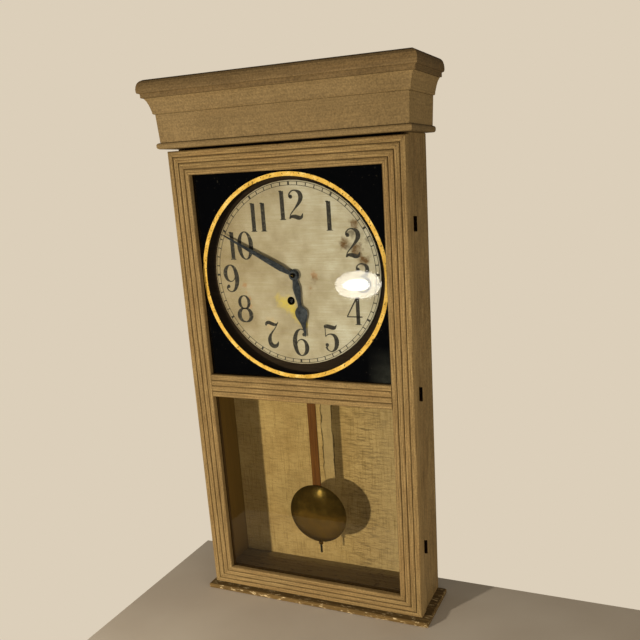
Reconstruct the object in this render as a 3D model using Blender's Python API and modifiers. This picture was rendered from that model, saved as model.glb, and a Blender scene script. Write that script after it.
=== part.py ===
"""Painted pendulum wall clock: reeded door, plain case, spring-driven movement.

The frame of the part: X to the viewer's right, Y into the wall, Z up. The origin lies on the rear
face of the back board, at the middle of the case's height. Dimensions are in millimetres.
"""

from math import atan2, cos, pi, radians, sin

import bmesh
import bpy
from mathutils import Matrix

MM = 0.001
GAP = 0.3  # left between pieces that touch
RUNNING = 0.09  # between a shaft and its hole
WELD = 0.0001

# Case
CASE_HALF_W = 196.5
CASE_TOP = 386.2
CASE_BOTTOM = -386.4
CASE_FRONT = -79.8
SIDE_T = 12.5
BACK_T = 12.0
TOP_T = 12.0
FLOOR_TOP = -361.5
FLOOR_BOTTOM = -373.5
BASE_HALF_W = 212.0
BASE_FRONT = -113.5
BASE_TOP = -386.7
BASE_BOTTOM = -395.3

# Crown: how far each edge stands out beyond the door's sides, and its height
NOSING_EDGE = ((9.5, 386.5), (11.6, 387.6), (12.5, 389.4), (12.5, 392.9), (11.6, 394.7), (9.5, 395.8))
FRIEZE_SECTION = ((-6.0, 396.1), (8.0, 396.1), (10.0, 438.6), (-6.0, 438.6))
COVE_SECTION = (
    (-2.0, 438.9), (11.6, 438.9), (12.9, 440.1), (13.1, 443.0), (14.0, 446.6), (15.6, 452.7),
    (17.6, 458.2), (20.6, 462.6), (-2.0, 462.6),
)
CAP_EDGE = (
    (23.0, 462.9), (23.8, 463.6), (23.8, 468.6), (24.6, 469.4), (27.2, 470.0), (28.0, 472.6),
    (28.0, 476.2), (27.3, 480.4), (25.9, 484.4), (23.2, 487.6), (19.0, 489.8), (13.0, 490.8),
)

# Door
DOOR_HALF_W = 200.0
DOOR_BOTTOM = -383.0
DOOR_TOP = 382.5
DOOR_FRONT = -107.0
DOOR_T = 24.2
STILE_W = 37.2
TOP_RAIL_W = 38.0
BOTTOM_RAIL_W = 34.6
MIDDLE_RAIL = (-22.5, 16.5)
REEDS = 4
REED_H = 2.3
REED_ROUNDING = (0.0, 30.0, 60.0, 83.0, 90.0, 97.0, 120.0, 150.0, 180.0)  # degrees round each reed
REED_LINE_D = 0.5  # depth of the fine line down the middle of each reed
GROOVE_W = 1.0
GROOVE_D = 0.8  # below the foot of the reeds
RABBET_W = 6.0  # how far the frame laps over each pane
LIP_T = 8.7  # thickness of the frame in front of the panes
GLASS_T = 2.4
BEAD_W = 5.2
BEAD_T = 6.0
MITRE_GAP = 0.15

# Hinges, on the right edge: each barrel stands clear of the door's side, in line with the seam
HINGE_X = 202.6
HINGE_Y = -81.3
HINGE_Z = {"top": 258.0, "middle": -2.0, "bottom": -264.0}
HINGE_H = 22.0
KNUCKLE_R = 2.3
PIN_R = 0.6
LEAF_T = 0.8
LEAF_W = 20.0
LEAF_SET = 1.2  # from the pin's axis to the outer face of each leaf

# Hook on the left side
HOOK_Z = 0.0
HOOK_POST_Y = -62.0
HOOK_PIN_Y = -95.0
HOOK_X = -202.6
HOOK_T = 1.6
HOOK_POST_R = 1.5

# Dial and hands
DIAL_Z = 183.5
DIAL_R = 146.3
DIAL_FRONT = -83.5
DIAL_SHEET = 0.9
DIAL_RIM = 3.6
DIAL_BOARD = (-79.5, -71.5)
DIAL_BOARD_Z = (5.0, 373.9)
DIAL_BOARD_HOLE = (-24.0, 14.0, 128.0, 197.0)
DIAL_HOLE_R = 6.0
KEY_HOLE_R = 5.0
HAND_T = 1.0
HOUR_HAND_Y = -86.6
MINUTE_HAND_Y = -89.8
MINUTE_HAND_L = 143.5
HOUR_HAND_L = 100.5
MINUTE_HAND_TURN = 298.0  # degrees past twelve: ten to six
HOUR_HAND_TURN = 172.5
PIPE_R = 3.2
ARBOR_R = 1.6
FIT = 0.3

# Movement: arbor positions (X, Z), then the layers along Y
CENTRE = (0.0, DIAL_Z)
WINDING = (-10.3, 141.6)
SECOND = (-21.41, 172.67)
THIRD = (15.82, 195.41)
ESCAPE = (0.0, 204.0)
VERGE = (0.0, 221.0)
MINUTE_WHEEL = (11.88, 171.62)
PLATE_T = 1.6
PLATE_X = (-46.0, 40.0)
PLATE_Z = (107.0, 236.0)
FRONT_PLATE = -55.0
BACK_PLATE = -23.0
PILLARS = {"a": (-40.0, 113.0), "b": (34.0, 113.0), "c": (-40.0, 230.0), "d": (34.0, 230.0)}
PILLAR_R = 3.2
PIVOT_R = 1.1
WINDING_R = 3.2

# Teeth, by wheel: number and module
GREAT_TEETH, SECOND_TEETH, POWER_PINION = 48, 48, 12
GREAT_MODULE, SECOND_MODULE = 1.1, 0.8
TRAIN_TEETH, TRAIN_PINION = 64, 8
CENTRE_MODULE, THIRD_MODULE = 0.55, 0.5
ESCAPE_TEETH = 42
ESCAPE_R = 10.8
CANNON_TEETH, MINUTE_TEETH, MINUTE_PINION, HOUR_TEETH = 12, 36, 10, 40
CANNON_MODULE, HOUR_MODULE = 0.7, 0.672
WHEEL_TOOTH = (0.9, 1.25, 0.10, 0.27)  # addendum, dedendum, half widths at tip and root
LEAF_TOOTH = (0.8, 1.25, 0.10, 0.25)

# Pendulum
STICK_Y = (-62.4, -58.4)
STICK_W = 15.2
STICK_Z = (-287.0, 131.0)
ROD_Y = -60.4
ROD_R = 1.3
LOOP_R = (10.0, 12.6)
BOB_Z = -240.0
BOB_R = 54.0
BOB_BACK = -62.8
BOB_RIM_T = 1.4
BOB_DOME = 9.5
STRAP_Z = (-294.2, -281.0)
SCREW_BOTTOM = -316.5
SCREW_R = 1.9
NUT_Z = (-299.8, -294.6)

ROUND = 24  # segments of a small round piece


def clear_scene():
    for thing in list(bpy.data.objects):
        bpy.data.objects.remove(thing)


def collection(name):
    made = bpy.data.collections.new(name)
    bpy.context.scene.collection.children.link(made)
    return made


def material(slot, colour, metallic, roughness, transmission=0.0):
    made = bpy.data.materials.new(slot)
    made.use_nodes = True
    shader = made.node_tree.nodes["Principled BSDF"]
    shader.inputs["Base Color"].default_value = (*colour, 1.0)
    shader.inputs["Metallic"].default_value = metallic
    shader.inputs["Roughness"].default_value = roughness
    shader.inputs["Transmission Weight"].default_value = transmission
    return made


def add(name, shape, slot, pivot=(0.0, 0.0, 0.0), smooth_under=None, ease=0.0):
    """Turns a shape in millimetres into a named object whose origin is its pivot."""
    bmesh.ops.translate(shape, verts=shape.verts, vec=[-p for p in pivot])
    bmesh.ops.scale(shape, verts=shape.verts, vec=(MM, MM, MM))
    mesh = bpy.data.meshes.new(name)
    shape.to_mesh(mesh)
    shape.free()
    mesh.materials.append(MATERIALS[slot])
    if smooth_under:
        mesh.polygons.foreach_set("use_smooth", [True] * len(mesh.polygons))
        mesh.set_sharp_from_angle(angle=radians(smooth_under))
    made = bpy.data.objects.new(name, mesh)
    made.location = [p * MM for p in pivot]
    PARTS.objects.link(made)
    if ease:
        eased = made.modifiers.new("eased edges", "BEVEL")
        eased.width = ease * MM
        eased.segments = 1
        eased.limit_method = "ANGLE"
        eased.angle_limit = radians(40)
    return made


def placed(data, matrix=None):
    """A working object among the cutters, for a modifier or a curve to act on."""
    thing = bpy.data.objects.new("tool", data)
    thing.hide_render = True
    thing.display_type = "WIRE"
    if matrix:
        thing.matrix_world = matrix
    CUTTERS.objects.link(thing)
    return thing


def settled(thing):
    """The shape that a working object's curve or modifiers make, with its seams welded."""
    bpy.context.view_layer.update()
    graph = bpy.context.evaluated_depsgraph_get()
    mesh = bpy.data.meshes.new_from_object(thing.evaluated_get(graph))
    shape = bmesh.new()
    shape.from_mesh(mesh)
    shape.transform(thing.matrix_world)
    bpy.data.meshes.remove(mesh)
    bpy.data.objects.remove(thing)
    bmesh.ops.remove_doubles(shape, verts=shape.verts, dist=WELD)
    bmesh.ops.recalc_face_normals(shape, faces=shape.faces)
    return shape


def box(x, y, z):
    shape = bmesh.new()
    bmesh.ops.create_cube(shape, size=1.0)
    spans = [span[1] - span[0] for span in (x, y, z)]
    bmesh.ops.scale(shape, verts=shape.verts, vec=spans)
    bmesh.ops.translate(shape, verts=shape.verts, vec=[sum(span) / 2 for span in (x, y, z)])
    return shape


def loft(start, finish):
    """A solid between two ends of one section, given as matching lists of points, as for a mitre."""
    shape = bmesh.new()
    first = [shape.verts.new(point) for point in start]
    last = [shape.verts.new(point) for point in finish]
    shape.faces.new(first)
    shape.faces.new(last)
    for i in range(len(first)):
        j = (i + 1) % len(first)
        shape.faces.new((first[i], first[j], last[j], last[i]))
    bmesh.ops.recalc_face_normals(shape, faces=shape.faces)
    return shape


def prism(outline, y):
    """A flat outline in X and Z, given thickness along Y."""
    curve = bpy.data.curves.new("outline", "CURVE")
    curve.dimensions = "2D"
    curve.fill_mode = "BOTH"
    curve.extrude = (y[1] - y[0]) / 2
    spline = curve.splines.new("POLY")
    spline.points.add(len(outline) - 1)
    for point, (x, z) in zip(spline.points, outline):
        point.co = (x, z, 0.0, 1.0)
    spline.use_cyclic_u = True
    upright = Matrix.Translation((0.0, sum(y) / 2, 0.0)) @ Matrix.Rotation(pi / 2, 4, "X")
    return settled(placed(curve, upright))


def turned(section, centre, steps=ROUND):
    """A section of radius and Y, turned about an axis along Y through centre (X, Z)."""
    profile = bpy.data.meshes.new("profile")
    count = len(section)
    open_on_axis = section[0][0] == 0.0 and section[-1][0] == 0.0
    edges = [(i, (i + 1) % count) for i in range(count - open_on_axis)]
    profile.from_pydata([(radius, 0.0, y) for radius, y in section], edges, [])
    along_y = Matrix.Translation((centre[0], 0.0, centre[1])) @ Matrix.Rotation(-pi / 2, 4, "X")
    thing = placed(profile, along_y)
    turn = thing.modifiers.new("turned", "SCREW")
    turn.axis = "Z"
    turn.steps = steps
    turn.render_steps = steps
    turn.use_merge_vertices = True
    turn.merge_threshold = WELD
    return settled(thing)


def rod(radius, low, high, axis, through, steps=ROUND):
    """A cylinder along one axis, from low to high, through a point given on the other two."""
    shape = bmesh.new()
    bmesh.ops.create_cone(
        shape, cap_ends=True, segments=steps, radius1=radius, radius2=radius, depth=high - low
    )
    bmesh.ops.translate(shape, verts=shape.verts, vec=(0, 0, (low + high) / 2))
    if axis == "Y":
        turn = Matrix.Rotation(-pi / 2, 3, "X")
        place = (through[0], 0.0, through[1])
    elif axis == "X":
        turn = Matrix.Rotation(pi / 2, 3, "Y")
        place = (0.0, through[0], through[1])
    else:
        turn = Matrix.Identity(3)
        place = (through[0], through[1], 0.0)
    bmesh.ops.rotate(shape, verts=shape.verts, cent=(0, 0, 0), matrix=turn)
    bmesh.ops.translate(shape, verts=shape.verts, vec=place)
    return shape


def combine(operation, *shapes):
    """The union of the shapes, or the first with the others cut out of it."""
    things = []
    for shape in shapes:
        mesh = bpy.data.meshes.new("tool")
        shape.to_mesh(mesh)
        shape.free()
        things.append(placed(mesh))
    for other in things[1:]:
        step = things[0].modifiers.new("step", "BOOLEAN")
        step.operation = operation
        step.solver = "EXACT"
        step.object = other
    result = settled(things[0])
    for other in things[1:]:
        bpy.data.objects.remove(other)
    return result


def union(*shapes):
    return combine("UNION", *shapes)


def cut(shape, *tools):
    return combine("DIFFERENCE", shape, *tools)


def moulded_board(edge):
    """A board with the same moulded edge on its front and both ends, and a flat back."""
    shape = bmesh.new()
    rings = []
    for out, z in edge:
        half = DOOR_HALF_W + out
        front = front_of(out)
        corners = ((-half, front), (half, front), (half, 0.0), (-half, 0.0))
        rings.append([shape.verts.new((x, y, z)) for x, y in corners])
    for lower, upper in zip(rings, rings[1:]):
        for i in range(4):
            j = (i + 1) % 4
            shape.faces.new((lower[i], lower[j], upper[j], upper[i]))
    shape.faces.new(rings[0])
    shape.faces.new(rings[-1])
    bmesh.ops.recalc_face_normals(shape, faces=shape.faces)
    return shape


def front_of(out):
    """The Y of a crown face that stands this far beyond the door's sides."""
    return DOOR_FRONT + 4.9 - out


def crown_front(section):
    start = [(-(DOOR_HALF_W + out) + MITRE_GAP, front_of(out), z) for out, z in section]
    return loft(start, [(-x, y, z) for x, y, z in start])


def crown_return(section, side):
    start = [(side * (DOOR_HALF_W + out), front_of(out) + MITRE_GAP, z) for out, z in section]
    return loft(start, [(x, 0.0, z) for x, y, z in start])


def reeded_face(width):
    """Points (across, depth) over the face of a door member, from its outer to its inner edge."""
    pitch = width / REEDS
    points = []
    for i in range(REEDS):
        middle = (i + 0.5) * pitch
        half = (pitch - GROOVE_W) / 2
        for degrees in REED_ROUNDING:
            angle = radians(degrees)
            line = REED_LINE_D if degrees == 90.0 else 0.0
            points.append((middle - half * cos(angle), REED_H * (1 - sin(angle) ** 0.8) + line))
        if i < REEDS - 1:
            points.append((middle + half + GROOVE_W * 0.2, REED_H + GROOVE_D))
            points.append((middle + half + GROOVE_W * 0.8, REED_H + GROOVE_D))
    points[0] = (0.0, REED_H)
    points[-1] = (width, REED_H)
    return points


def member_section(width):
    """The whole section of an outer door member, with the rabbet that takes the panes."""
    inner = width - RABBET_W
    return reeded_face(width) + [(width, LIP_T), (inner, LIP_T), (inner, DOOR_T), (0.0, DOOR_T)]


def door_stile(side):
    start, finish = [], []
    for across, depth in member_section(STILE_W):
        share = across / STILE_W
        x = side * (DOOR_HALF_W - across)
        y = DOOR_FRONT + depth
        start.append((x, y, DOOR_BOTTOM + share * BOTTOM_RAIL_W + MITRE_GAP))
        finish.append((x, y, DOOR_TOP - share * TOP_RAIL_W - MITRE_GAP))
    return loft(start, finish)


def door_rail(outer_z, width, inward):
    start = []
    for across, depth in member_section(width):
        x = -DOOR_HALF_W + across / width * STILE_W + MITRE_GAP
        start.append((x, DOOR_FRONT + depth, outer_z + inward * across))
    return loft(start, [(-x, y, z) for x, y, z in start])


def middle_rail():
    low, high = MIDDLE_RAIL
    half = DOOR_HALF_W - STILE_W - GAP
    face = [(low + across, DOOR_FRONT + depth) for across, depth in reeded_face(high - low)]
    lip = DOOR_FRONT + LIP_T
    back = DOOR_FRONT + DOOR_T
    face += [
        (high, lip), (high - RABBET_W, lip), (high - RABBET_W, back),
        (low + RABBET_W, back), (low + RABBET_W, lip), (low, lip),
    ]
    rail = loft([(-half, y, z) for z, y in face], [(half, y, z) for z, y in face])
    tenon_half = half + RABBET_W
    tenon = box(
        (-tenon_half, tenon_half), (lip + GAP, back - 4.0), (low + RABBET_W + 2.0, high - RABBET_W - 2.0)
    )
    return union(rail, tenon)


def frame_strip(half_w, z, width, y):
    """A thin rectangular frame, as one piece."""
    hole = box((-half_w + width, half_w - width), (y[0] - 1, y[1] + 1), (z[0] + width, z[1] - width))
    return cut(box((-half_w, half_w), y, z), hole)


def toothed(centre, teeth, module, form, y, turn):
    """A wheel or pinion blank with its teeth, one tooth centred on the angle turn."""
    addendum, dedendum, tip, root = form
    pitch = 2 * pi / teeth
    radius = teeth * module / 2
    outline = []
    for i in range(teeth):
        for reach, share in ((-dedendum, -root), (addendum, -tip), (addendum, tip), (-dedendum, root)):
            angle = turn + (i + share) * pitch
            r = radius + reach * module
            outline.append((centre[0] + r * cos(angle), centre[1] + r * sin(angle)))
    return prism(outline, y)


def meshed(turn, teeth, centre, other_teeth, other_centre):
    """The turn that sets the other wheel's gap on a tooth of the first, where they meet."""
    line = atan2(other_centre[1] - centre[1], other_centre[0] - centre[0])
    share = (line - turn) * teeth / (2 * pi)
    return line + pi - 2 * pi / other_teeth * (0.5 - share)


def escape_blank(y):
    """Pointed teeth that lean forward, as on a recoil escape wheel."""
    pitch = 2 * pi / ESCAPE_TEETH
    outline = []
    for i in range(ESCAPE_TEETH):
        for r, share in ((ESCAPE_R - 1.6, 0.0), (ESCAPE_R, 0.62), (ESCAPE_R, 0.76)):
            angle = (i + share) * pitch
            outline.append((ESCAPE[0] + r * cos(angle), ESCAPE[1] + r * sin(angle)))
    return prism(outline, y)


def crossings(centre, inner, outer, arms, y):
    """Cutters for the openings between a wheel's arms."""
    tools = []
    arm = 0.16 * 2 * pi / arms
    for i in range(arms):
        low = 2 * pi * i / arms + arm
        high = 2 * pi * (i + 1) / arms - arm
        outline = []
        for r, ends in ((inner, (low, high)), (outer, (high, low))):
            for k in range(5):
                angle = ends[0] + (ends[1] - ends[0]) * k / 4
                outline.append((centre[0] + r * cos(angle), centre[1] + r * sin(angle)))
        tools.append(prism(outline, (y[0] - 1, y[1] + 1)))
    return tools


def build_case():
    inner = CASE_HALF_W - SIDE_T
    for name, side in (("case_side_left", -1), ("case_side_right", 1)):
        x = sorted((side * inner, side * CASE_HALF_W))
        add(name, box(x, (CASE_FRONT, 0.0), (CASE_BOTTOM, CASE_TOP)), "painted_wood", ease=0.6)
    x = (-inner + GAP, inner - GAP)
    board = box(x, (-BACK_T, 0.0), (CASE_BOTTOM, CASE_TOP))
    housing = box((-25.3, 25.3), (-2.6, 1.0), (325.7, 366.3))
    nail_room = box((-9.0, 9.0), (-8.0, 1.0), (332.0, 360.0))
    add("back_board", cut(board, housing, nail_room), "back_panel")
    plate = box((-25.0, 25.0), (-2.2, -0.2), (326.0, 366.0))
    keyhole = union(
        rod(5.0, -4, 2, "Y", (0.0, 338.0)), box((-2.2, 2.2), (-4, 2), (338.0, 355.0)),
    )
    add("hanger_plate", cut(plate, keyhole), "steel")
    y = (CASE_FRONT, -BACK_T - GAP)
    add("case_top", box(x, y, (CASE_TOP - TOP_T, CASE_TOP)), "inside_wood")
    add("case_floor", box(x, y, (FLOOR_BOTTOM, FLOOR_TOP)), "inside_wood")
    base = box((-BASE_HALF_W, BASE_HALF_W), (BASE_FRONT, 0.0), (BASE_BOTTOM, BASE_TOP))
    add("base_board", base, "bare_wood", ease=1.4)


def build_crown():
    add("crown_nosing", moulded_board(NOSING_EDGE), "painted_wood", smooth_under=50)
    for name, section in (("frieze", FRIEZE_SECTION), ("cove", COVE_SECTION)):
        add(name + "_front", crown_front(section), "painted_wood", smooth_under=30)
        add(name + "_left", crown_return(section, -1), "painted_wood", smooth_under=30)
        add(name + "_right", crown_return(section, 1), "painted_wood", smooth_under=30)
    add("crown_cap", moulded_board(CAP_EDGE), "painted_wood", smooth_under=40)


def build_door():
    pivot = (HINGE_X, HINGE_Y, 0.0)
    add("door_stile_left", door_stile(-1), "painted_wood", pivot, 50)
    add("door_stile_right", door_stile(1), "painted_wood", pivot, 50)
    add("door_rail_top", door_rail(DOOR_TOP, TOP_RAIL_W, -1), "painted_wood", pivot, 50)
    add("door_rail_bottom", door_rail(DOOR_BOTTOM, BOTTOM_RAIL_W, 1), "painted_wood", pivot, 50)
    add("door_rail_middle", middle_rail(), "painted_wood", pivot, 50)
    pane_half = DOOR_HALF_W - STILE_W + RABBET_W - 0.5
    front = DOOR_FRONT + LIP_T + GAP
    panes = {
        "upper": (MIDDLE_RAIL[1] - RABBET_W + 0.5, DOOR_TOP - TOP_RAIL_W + RABBET_W - 0.5),
        "lower": (DOOR_BOTTOM + BOTTOM_RAIL_W - RABBET_W + 0.5, MIDDLE_RAIL[0] + RABBET_W - 0.5),
    }
    for place, z in panes.items():
        pane = box((-pane_half, pane_half), (front, front + GLASS_T), z)
        add("glass_" + place, pane, "glass_" + place, pivot)
        bead_y = (front + GLASS_T + GAP, front + GLASS_T + GAP + BEAD_T)
        bead = frame_strip(pane_half, z, BEAD_W, bead_y)
        add("glazing_bead_" + place, bead, "inside_wood", pivot)


def build_hinges():
    third = HINGE_H / 3
    half_play = RUNNING + 0.06
    reach = HINGE_X - 0.2
    inner = HINGE_X - KNUCKLE_R - GAP
    door_y = (HINGE_Y - LEAF_SET, HINGE_Y - LEAF_SET + LEAF_T)
    case_y = (HINGE_Y + LEAF_SET - LEAF_T, HINGE_Y + LEAF_SET)
    for place, z in HINGE_Z.items():
        low, high = z - HINGE_H / 2, z + HINGE_H / 2
        middle = (low + third + half_play, high - third - half_play)
        leaf = union(
            box((inner - LEAF_W, inner), door_y, (low, high)),
            box((inner - 1.0, reach), door_y, middle),
            rod(KNUCKLE_R, *middle, "Z", (HINGE_X, HINGE_Y)),
        )
        leaf = cut(leaf, rod(PIN_R + RUNNING, low, high, "Z", (HINGE_X, HINGE_Y), 16))
        add("hinge_door_leaf_" + place, leaf, "steel", (HINGE_X, HINGE_Y, z))
        ends = []
        for end in ((low, low + third - half_play), (high - third + half_play, high)):
            ends.append(box((CASE_HALF_W - 1.0, reach), case_y, end))
            ends.append(rod(KNUCKLE_R, *end, "Z", (HINGE_X, HINGE_Y)))
        leaf = union(
            box((CASE_HALF_W - LEAF_W, CASE_HALF_W), case_y, (low, high)),
            *ends,
            rod(PIN_R, low + 0.5, high - 0.5, "Z", (HINGE_X, HINGE_Y), 16),
        )
        add("hinge_case_leaf_" + place, leaf, "steel", (HINGE_X, HINGE_Y, z))


def build_hook():
    x = (HOOK_X - HOOK_T / 2, HOOK_X + HOOK_T / 2)
    post = union(
        rod(HOOK_POST_R, HOOK_X - 2.0, -CASE_HALF_W - 0.2, "X", (HOOK_POST_Y, HOOK_Z)),
        rod(3.0, -200.8, -CASE_HALF_W - 0.2, "X", (HOOK_POST_Y, HOOK_Z)),
        rod(3.0, HOOK_X - 2.6, HOOK_X - 1.1, "X", (HOOK_POST_Y, HOOK_Z)),
    )
    add("hook_post", post, "brass", (HOOK_X, HOOK_POST_Y, HOOK_Z))
    pin = union(
        rod(1.2, HOOK_X - 2.2, -DOOR_HALF_W - 0.2, "X", (HOOK_PIN_Y, HOOK_Z)),
        rod(2.4, -201.0, -DOOR_HALF_W - 0.2, "X", (HOOK_PIN_Y, HOOK_Z)),
    )
    add("hook_pin", pin, "brass", (HOOK_X, HOOK_PIN_Y, HOOK_Z))
    reach = HOOK_POST_Y - HOOK_PIN_Y
    closed = [
        (-reach - 3.6, 2.4), (-reach - 2.0, 4.2), (-reach + 4.0, 4.2), (-reach + 8.0, 2.2), (2.0, 2.2),
        (3.4, 0.0), (2.0, -2.2), (-reach + 8.0, -2.2), (-reach + 3.0, 0.4), (-reach + 1.8, 1.6),
        (-reach - 1.6, 1.9), (-reach - 2.4, -3.4), (-reach - 4.0, -3.4),
    ]
    # Unhooked it hangs a quarter turn down, so what lay along Y now lies along Z.
    hanging = [(HOOK_POST_Y - z, HOOK_Z + y) for y, z in closed]
    hook = loft([(x[0], y, z) for y, z in hanging], [(x[1], y, z) for y, z in hanging])
    hook = cut(hook, rod(HOOK_POST_R + RUNNING, x[0] - 1, x[1] + 1, "X", (HOOK_POST_Y, HOOK_Z)))
    add("door_hook", hook, "brass", (HOOK_X, HOOK_POST_Y, HOOK_Z))


def build_dial():
    inner = CASE_HALF_W - SIDE_T - 2 * GAP
    board = box((-inner, inner), DIAL_BOARD, DIAL_BOARD_Z)
    left, right, low, high = DIAL_BOARD_HOLE
    hole = box((left, right), (DIAL_BOARD[0] - 1, DIAL_BOARD[1] + 1), (low, high))
    add("dial_board", cut(board, hole), "inside_wood")
    back = DIAL_FRONT + DIAL_RIM
    section = (
        (DIAL_HOLE_R, DIAL_FRONT), (DIAL_R - 1.6, DIAL_FRONT), (DIAL_R - 0.4, DIAL_FRONT + 0.5),
        (DIAL_R, DIAL_FRONT + 1.8), (DIAL_R, back), (DIAL_R - 1.0, back),
        (DIAL_R - 1.6, DIAL_FRONT + DIAL_SHEET + 0.5), (DIAL_HOLE_R, DIAL_FRONT + DIAL_SHEET),
    )
    key_hole = rod(KEY_HOLE_R, DIAL_FRONT - 2, back + 2, "Y", WINDING)
    add("dial", cut(turned(section, CENTRE, 60), key_hole), "dial_paint", smooth_under=40)


def hand_shape(half_widths, boss_r, bore_r, y, turn):
    """A hand from its centre outwards, given as (reach, half width), turned past twelve."""
    right = [(w, reach) for reach, w in half_widths]
    left = [(-w, reach) for w, reach in reversed(right) if w > 0]
    angle = radians(turn)
    outline = [(w * cos(angle) + r * sin(angle), -w * sin(angle) + r * cos(angle)) for w, r in right + left]
    blade = prism([(CENTRE[0] + a, CENTRE[1] + b) for a, b in outline], y)
    boss = rod(boss_r, *y, "Y", CENTRE)
    bore = rod(bore_r, y[0] - 1, y[1] + 1, "Y", CENTRE)
    return cut(union(blade, boss), bore)


def build_hands():
    pivot = (CENTRE[0], 0.0, CENTRE[1])
    minute = [(4.0, 2.2), (24.0, 5.0), (42.0, 4.6), (90.0, 2.6), (132.0, 1.2), (MINUTE_HAND_L, 0.0)]
    shape = hand_shape(minute, 7.2, ARBOR_R + FIT, (MINUTE_HAND_Y - HAND_T, MINUTE_HAND_Y), MINUTE_HAND_TURN)
    add("minute_hand", shape, "blued_steel", pivot)
    hour = [
        (4.0, 4.0), (12.0, 5.0), (20.0, 7.0), (28.0, 6.2), (35.0, 4.9), (43.0, 3.8), (50.0, 3.4), (52.0, 5.6),
        (55.0, 9.2), (59.0, 11.2), (63.0, 11.2), (70.0, 8.8), (76.0, 5.6), (84.0, 3.2), (92.0, 2.2),
        (HOUR_HAND_L, 0.0),
    ]
    shape = hand_shape(hour, 9.2, PIPE_R + FIT, (HOUR_HAND_Y - HAND_T, HOUR_HAND_Y), HOUR_HAND_TURN)
    add("hour_hand", shape, "blued_steel", pivot)
    front = MINUTE_HAND_Y - HAND_T - GAP
    section = (
        (ARBOR_R + FIT, front), (4.2, front), (4.2, front - 1.0), (3.4, front - 2.2),
        (ARBOR_R + FIT, front - 2.6),
    )
    add("hand_nut", turned(section, CENTRE, 16), "brass", pivot, 30)


def plate(y, bores):
    shape = box(PLATE_X, y, PLATE_Z)
    tools = [rod(radius, y[0] - 1, y[1] + 1, "Y", centre, 16) for radius, centre in bores]
    return cut(shape, *tools)


def build_movement_frame():
    arbors = (WINDING, SECOND, CENTRE, THIRD, ESCAPE, VERGE)
    radii = {WINDING: WINDING_R + RUNNING, CENTRE: PIPE_R + RUNNING}
    front = [(radii.get(a, PIVOT_R + RUNNING), a) for a in arbors]
    back = [(radii[a] if a == WINDING else PIVOT_R + RUNNING, a) for a in arbors]
    stub = [(PILLAR_R - 1.4 + FIT, at) for at in PILLARS.values()]
    add("movement_plate_front", plate((FRONT_PLATE, FRONT_PLATE + PLATE_T), front + stub), "brass")
    add("movement_plate_back", plate((BACK_PLATE, BACK_PLATE + PLATE_T), back + stub), "brass")
    for place, at in PILLARS.items():
        section = (
            (0.0, FRONT_PLATE - 1.0), (PILLAR_R - 1.4, FRONT_PLATE - 1.0),
            (PILLAR_R - 1.4, FRONT_PLATE + PLATE_T + GAP), (PILLAR_R, FRONT_PLATE + PLATE_T + GAP),
            (PILLAR_R, BACK_PLATE - GAP), (PILLAR_R - 1.4, BACK_PLATE - GAP),
            (PILLAR_R - 1.4, BACK_PLATE + PLATE_T + GAP), (PILLAR_R + 1.0, BACK_PLATE + PLATE_T + GAP),
            (PILLAR_R + 1.0, -BACK_T - GAP), (0.0, -BACK_T - GAP),
        )
        add("pillar_" + place, turned(section, at, 12), "steel", smooth_under=40)


def build_power():
    """The winding arbor with its square, the mainspring, and the first two wheels."""
    square = 2.3
    arbor = union(
        rod(WINDING_R, FRONT_PLATE - 1.0, BACK_PLATE + PLATE_T + 1.0, "Y", WINDING),
        box(
            (WINDING[0] - square, WINDING[0] + square), (DIAL_FRONT + 1.0, FRONT_PLATE),
            (WINDING[1] - square, WINDING[1] + square),
        ),
    )
    add("winding_arbor", arbor, "steel", (WINDING[0], 0.0, WINDING[1]))
    inner_r, outer_r, coils, strip = 5.4, 22.5, 5, 0.7
    steps = coils * 13
    inside, outside = [], []
    for k in range(steps + 1):
        angle = 2 * pi * coils * k / steps
        r = inner_r + (outer_r - inner_r) * k / steps
        inside.append((WINDING[0] + r * cos(angle), WINDING[1] + r * sin(angle)))
        outside.append((WINDING[0] + (r + strip) * cos(angle), WINDING[1] + (r + strip) * sin(angle)))
    spring = prism(inside + outside[::-1], (-47.0, -31.5))
    add("mainspring", spring, "blued_steel")
    great_y, great_turn = (-29.5, -27.5), 0.0
    great = toothed(WINDING, GREAT_TEETH, GREAT_MODULE, WHEEL_TOOTH, great_y, great_turn)
    bore = rod(WINDING_R + RUNNING, great_y[0] - 2, great_y[1] + 2, "Y", WINDING)
    great = cut(great, bore, *crossings(WINDING, 8.0, 21.5, 4, great_y))
    add("great_wheel", great, "brass", (WINDING[0], 0.0, WINDING[1]))
    second_turn = meshed(great_turn, GREAT_TEETH, WINDING, POWER_PINION, SECOND)
    second_y = (-26.0, -24.7)
    second = toothed(SECOND, SECOND_TEETH, SECOND_MODULE, WHEEL_TOOTH, second_y, second_turn)
    second = union(
        cut(second, *crossings(SECOND, 6.0, 15.5, 4, second_y)),
        toothed(SECOND, POWER_PINION, GREAT_MODULE, LEAF_TOOTH, (-30.2, -26.8), second_turn),
        rod(PIVOT_R, FRONT_PLATE - 0.6, BACK_PLATE + PLATE_T + 0.6, "Y", SECOND, 12),
        rod(2.2, FRONT_PLATE + PLATE_T + GAP, BACK_PLATE - GAP, "Y", SECOND, 12),
    )
    add("second_wheel", second, "brass", (SECOND[0], 0.0, SECOND[1]))
    return second_turn


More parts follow.
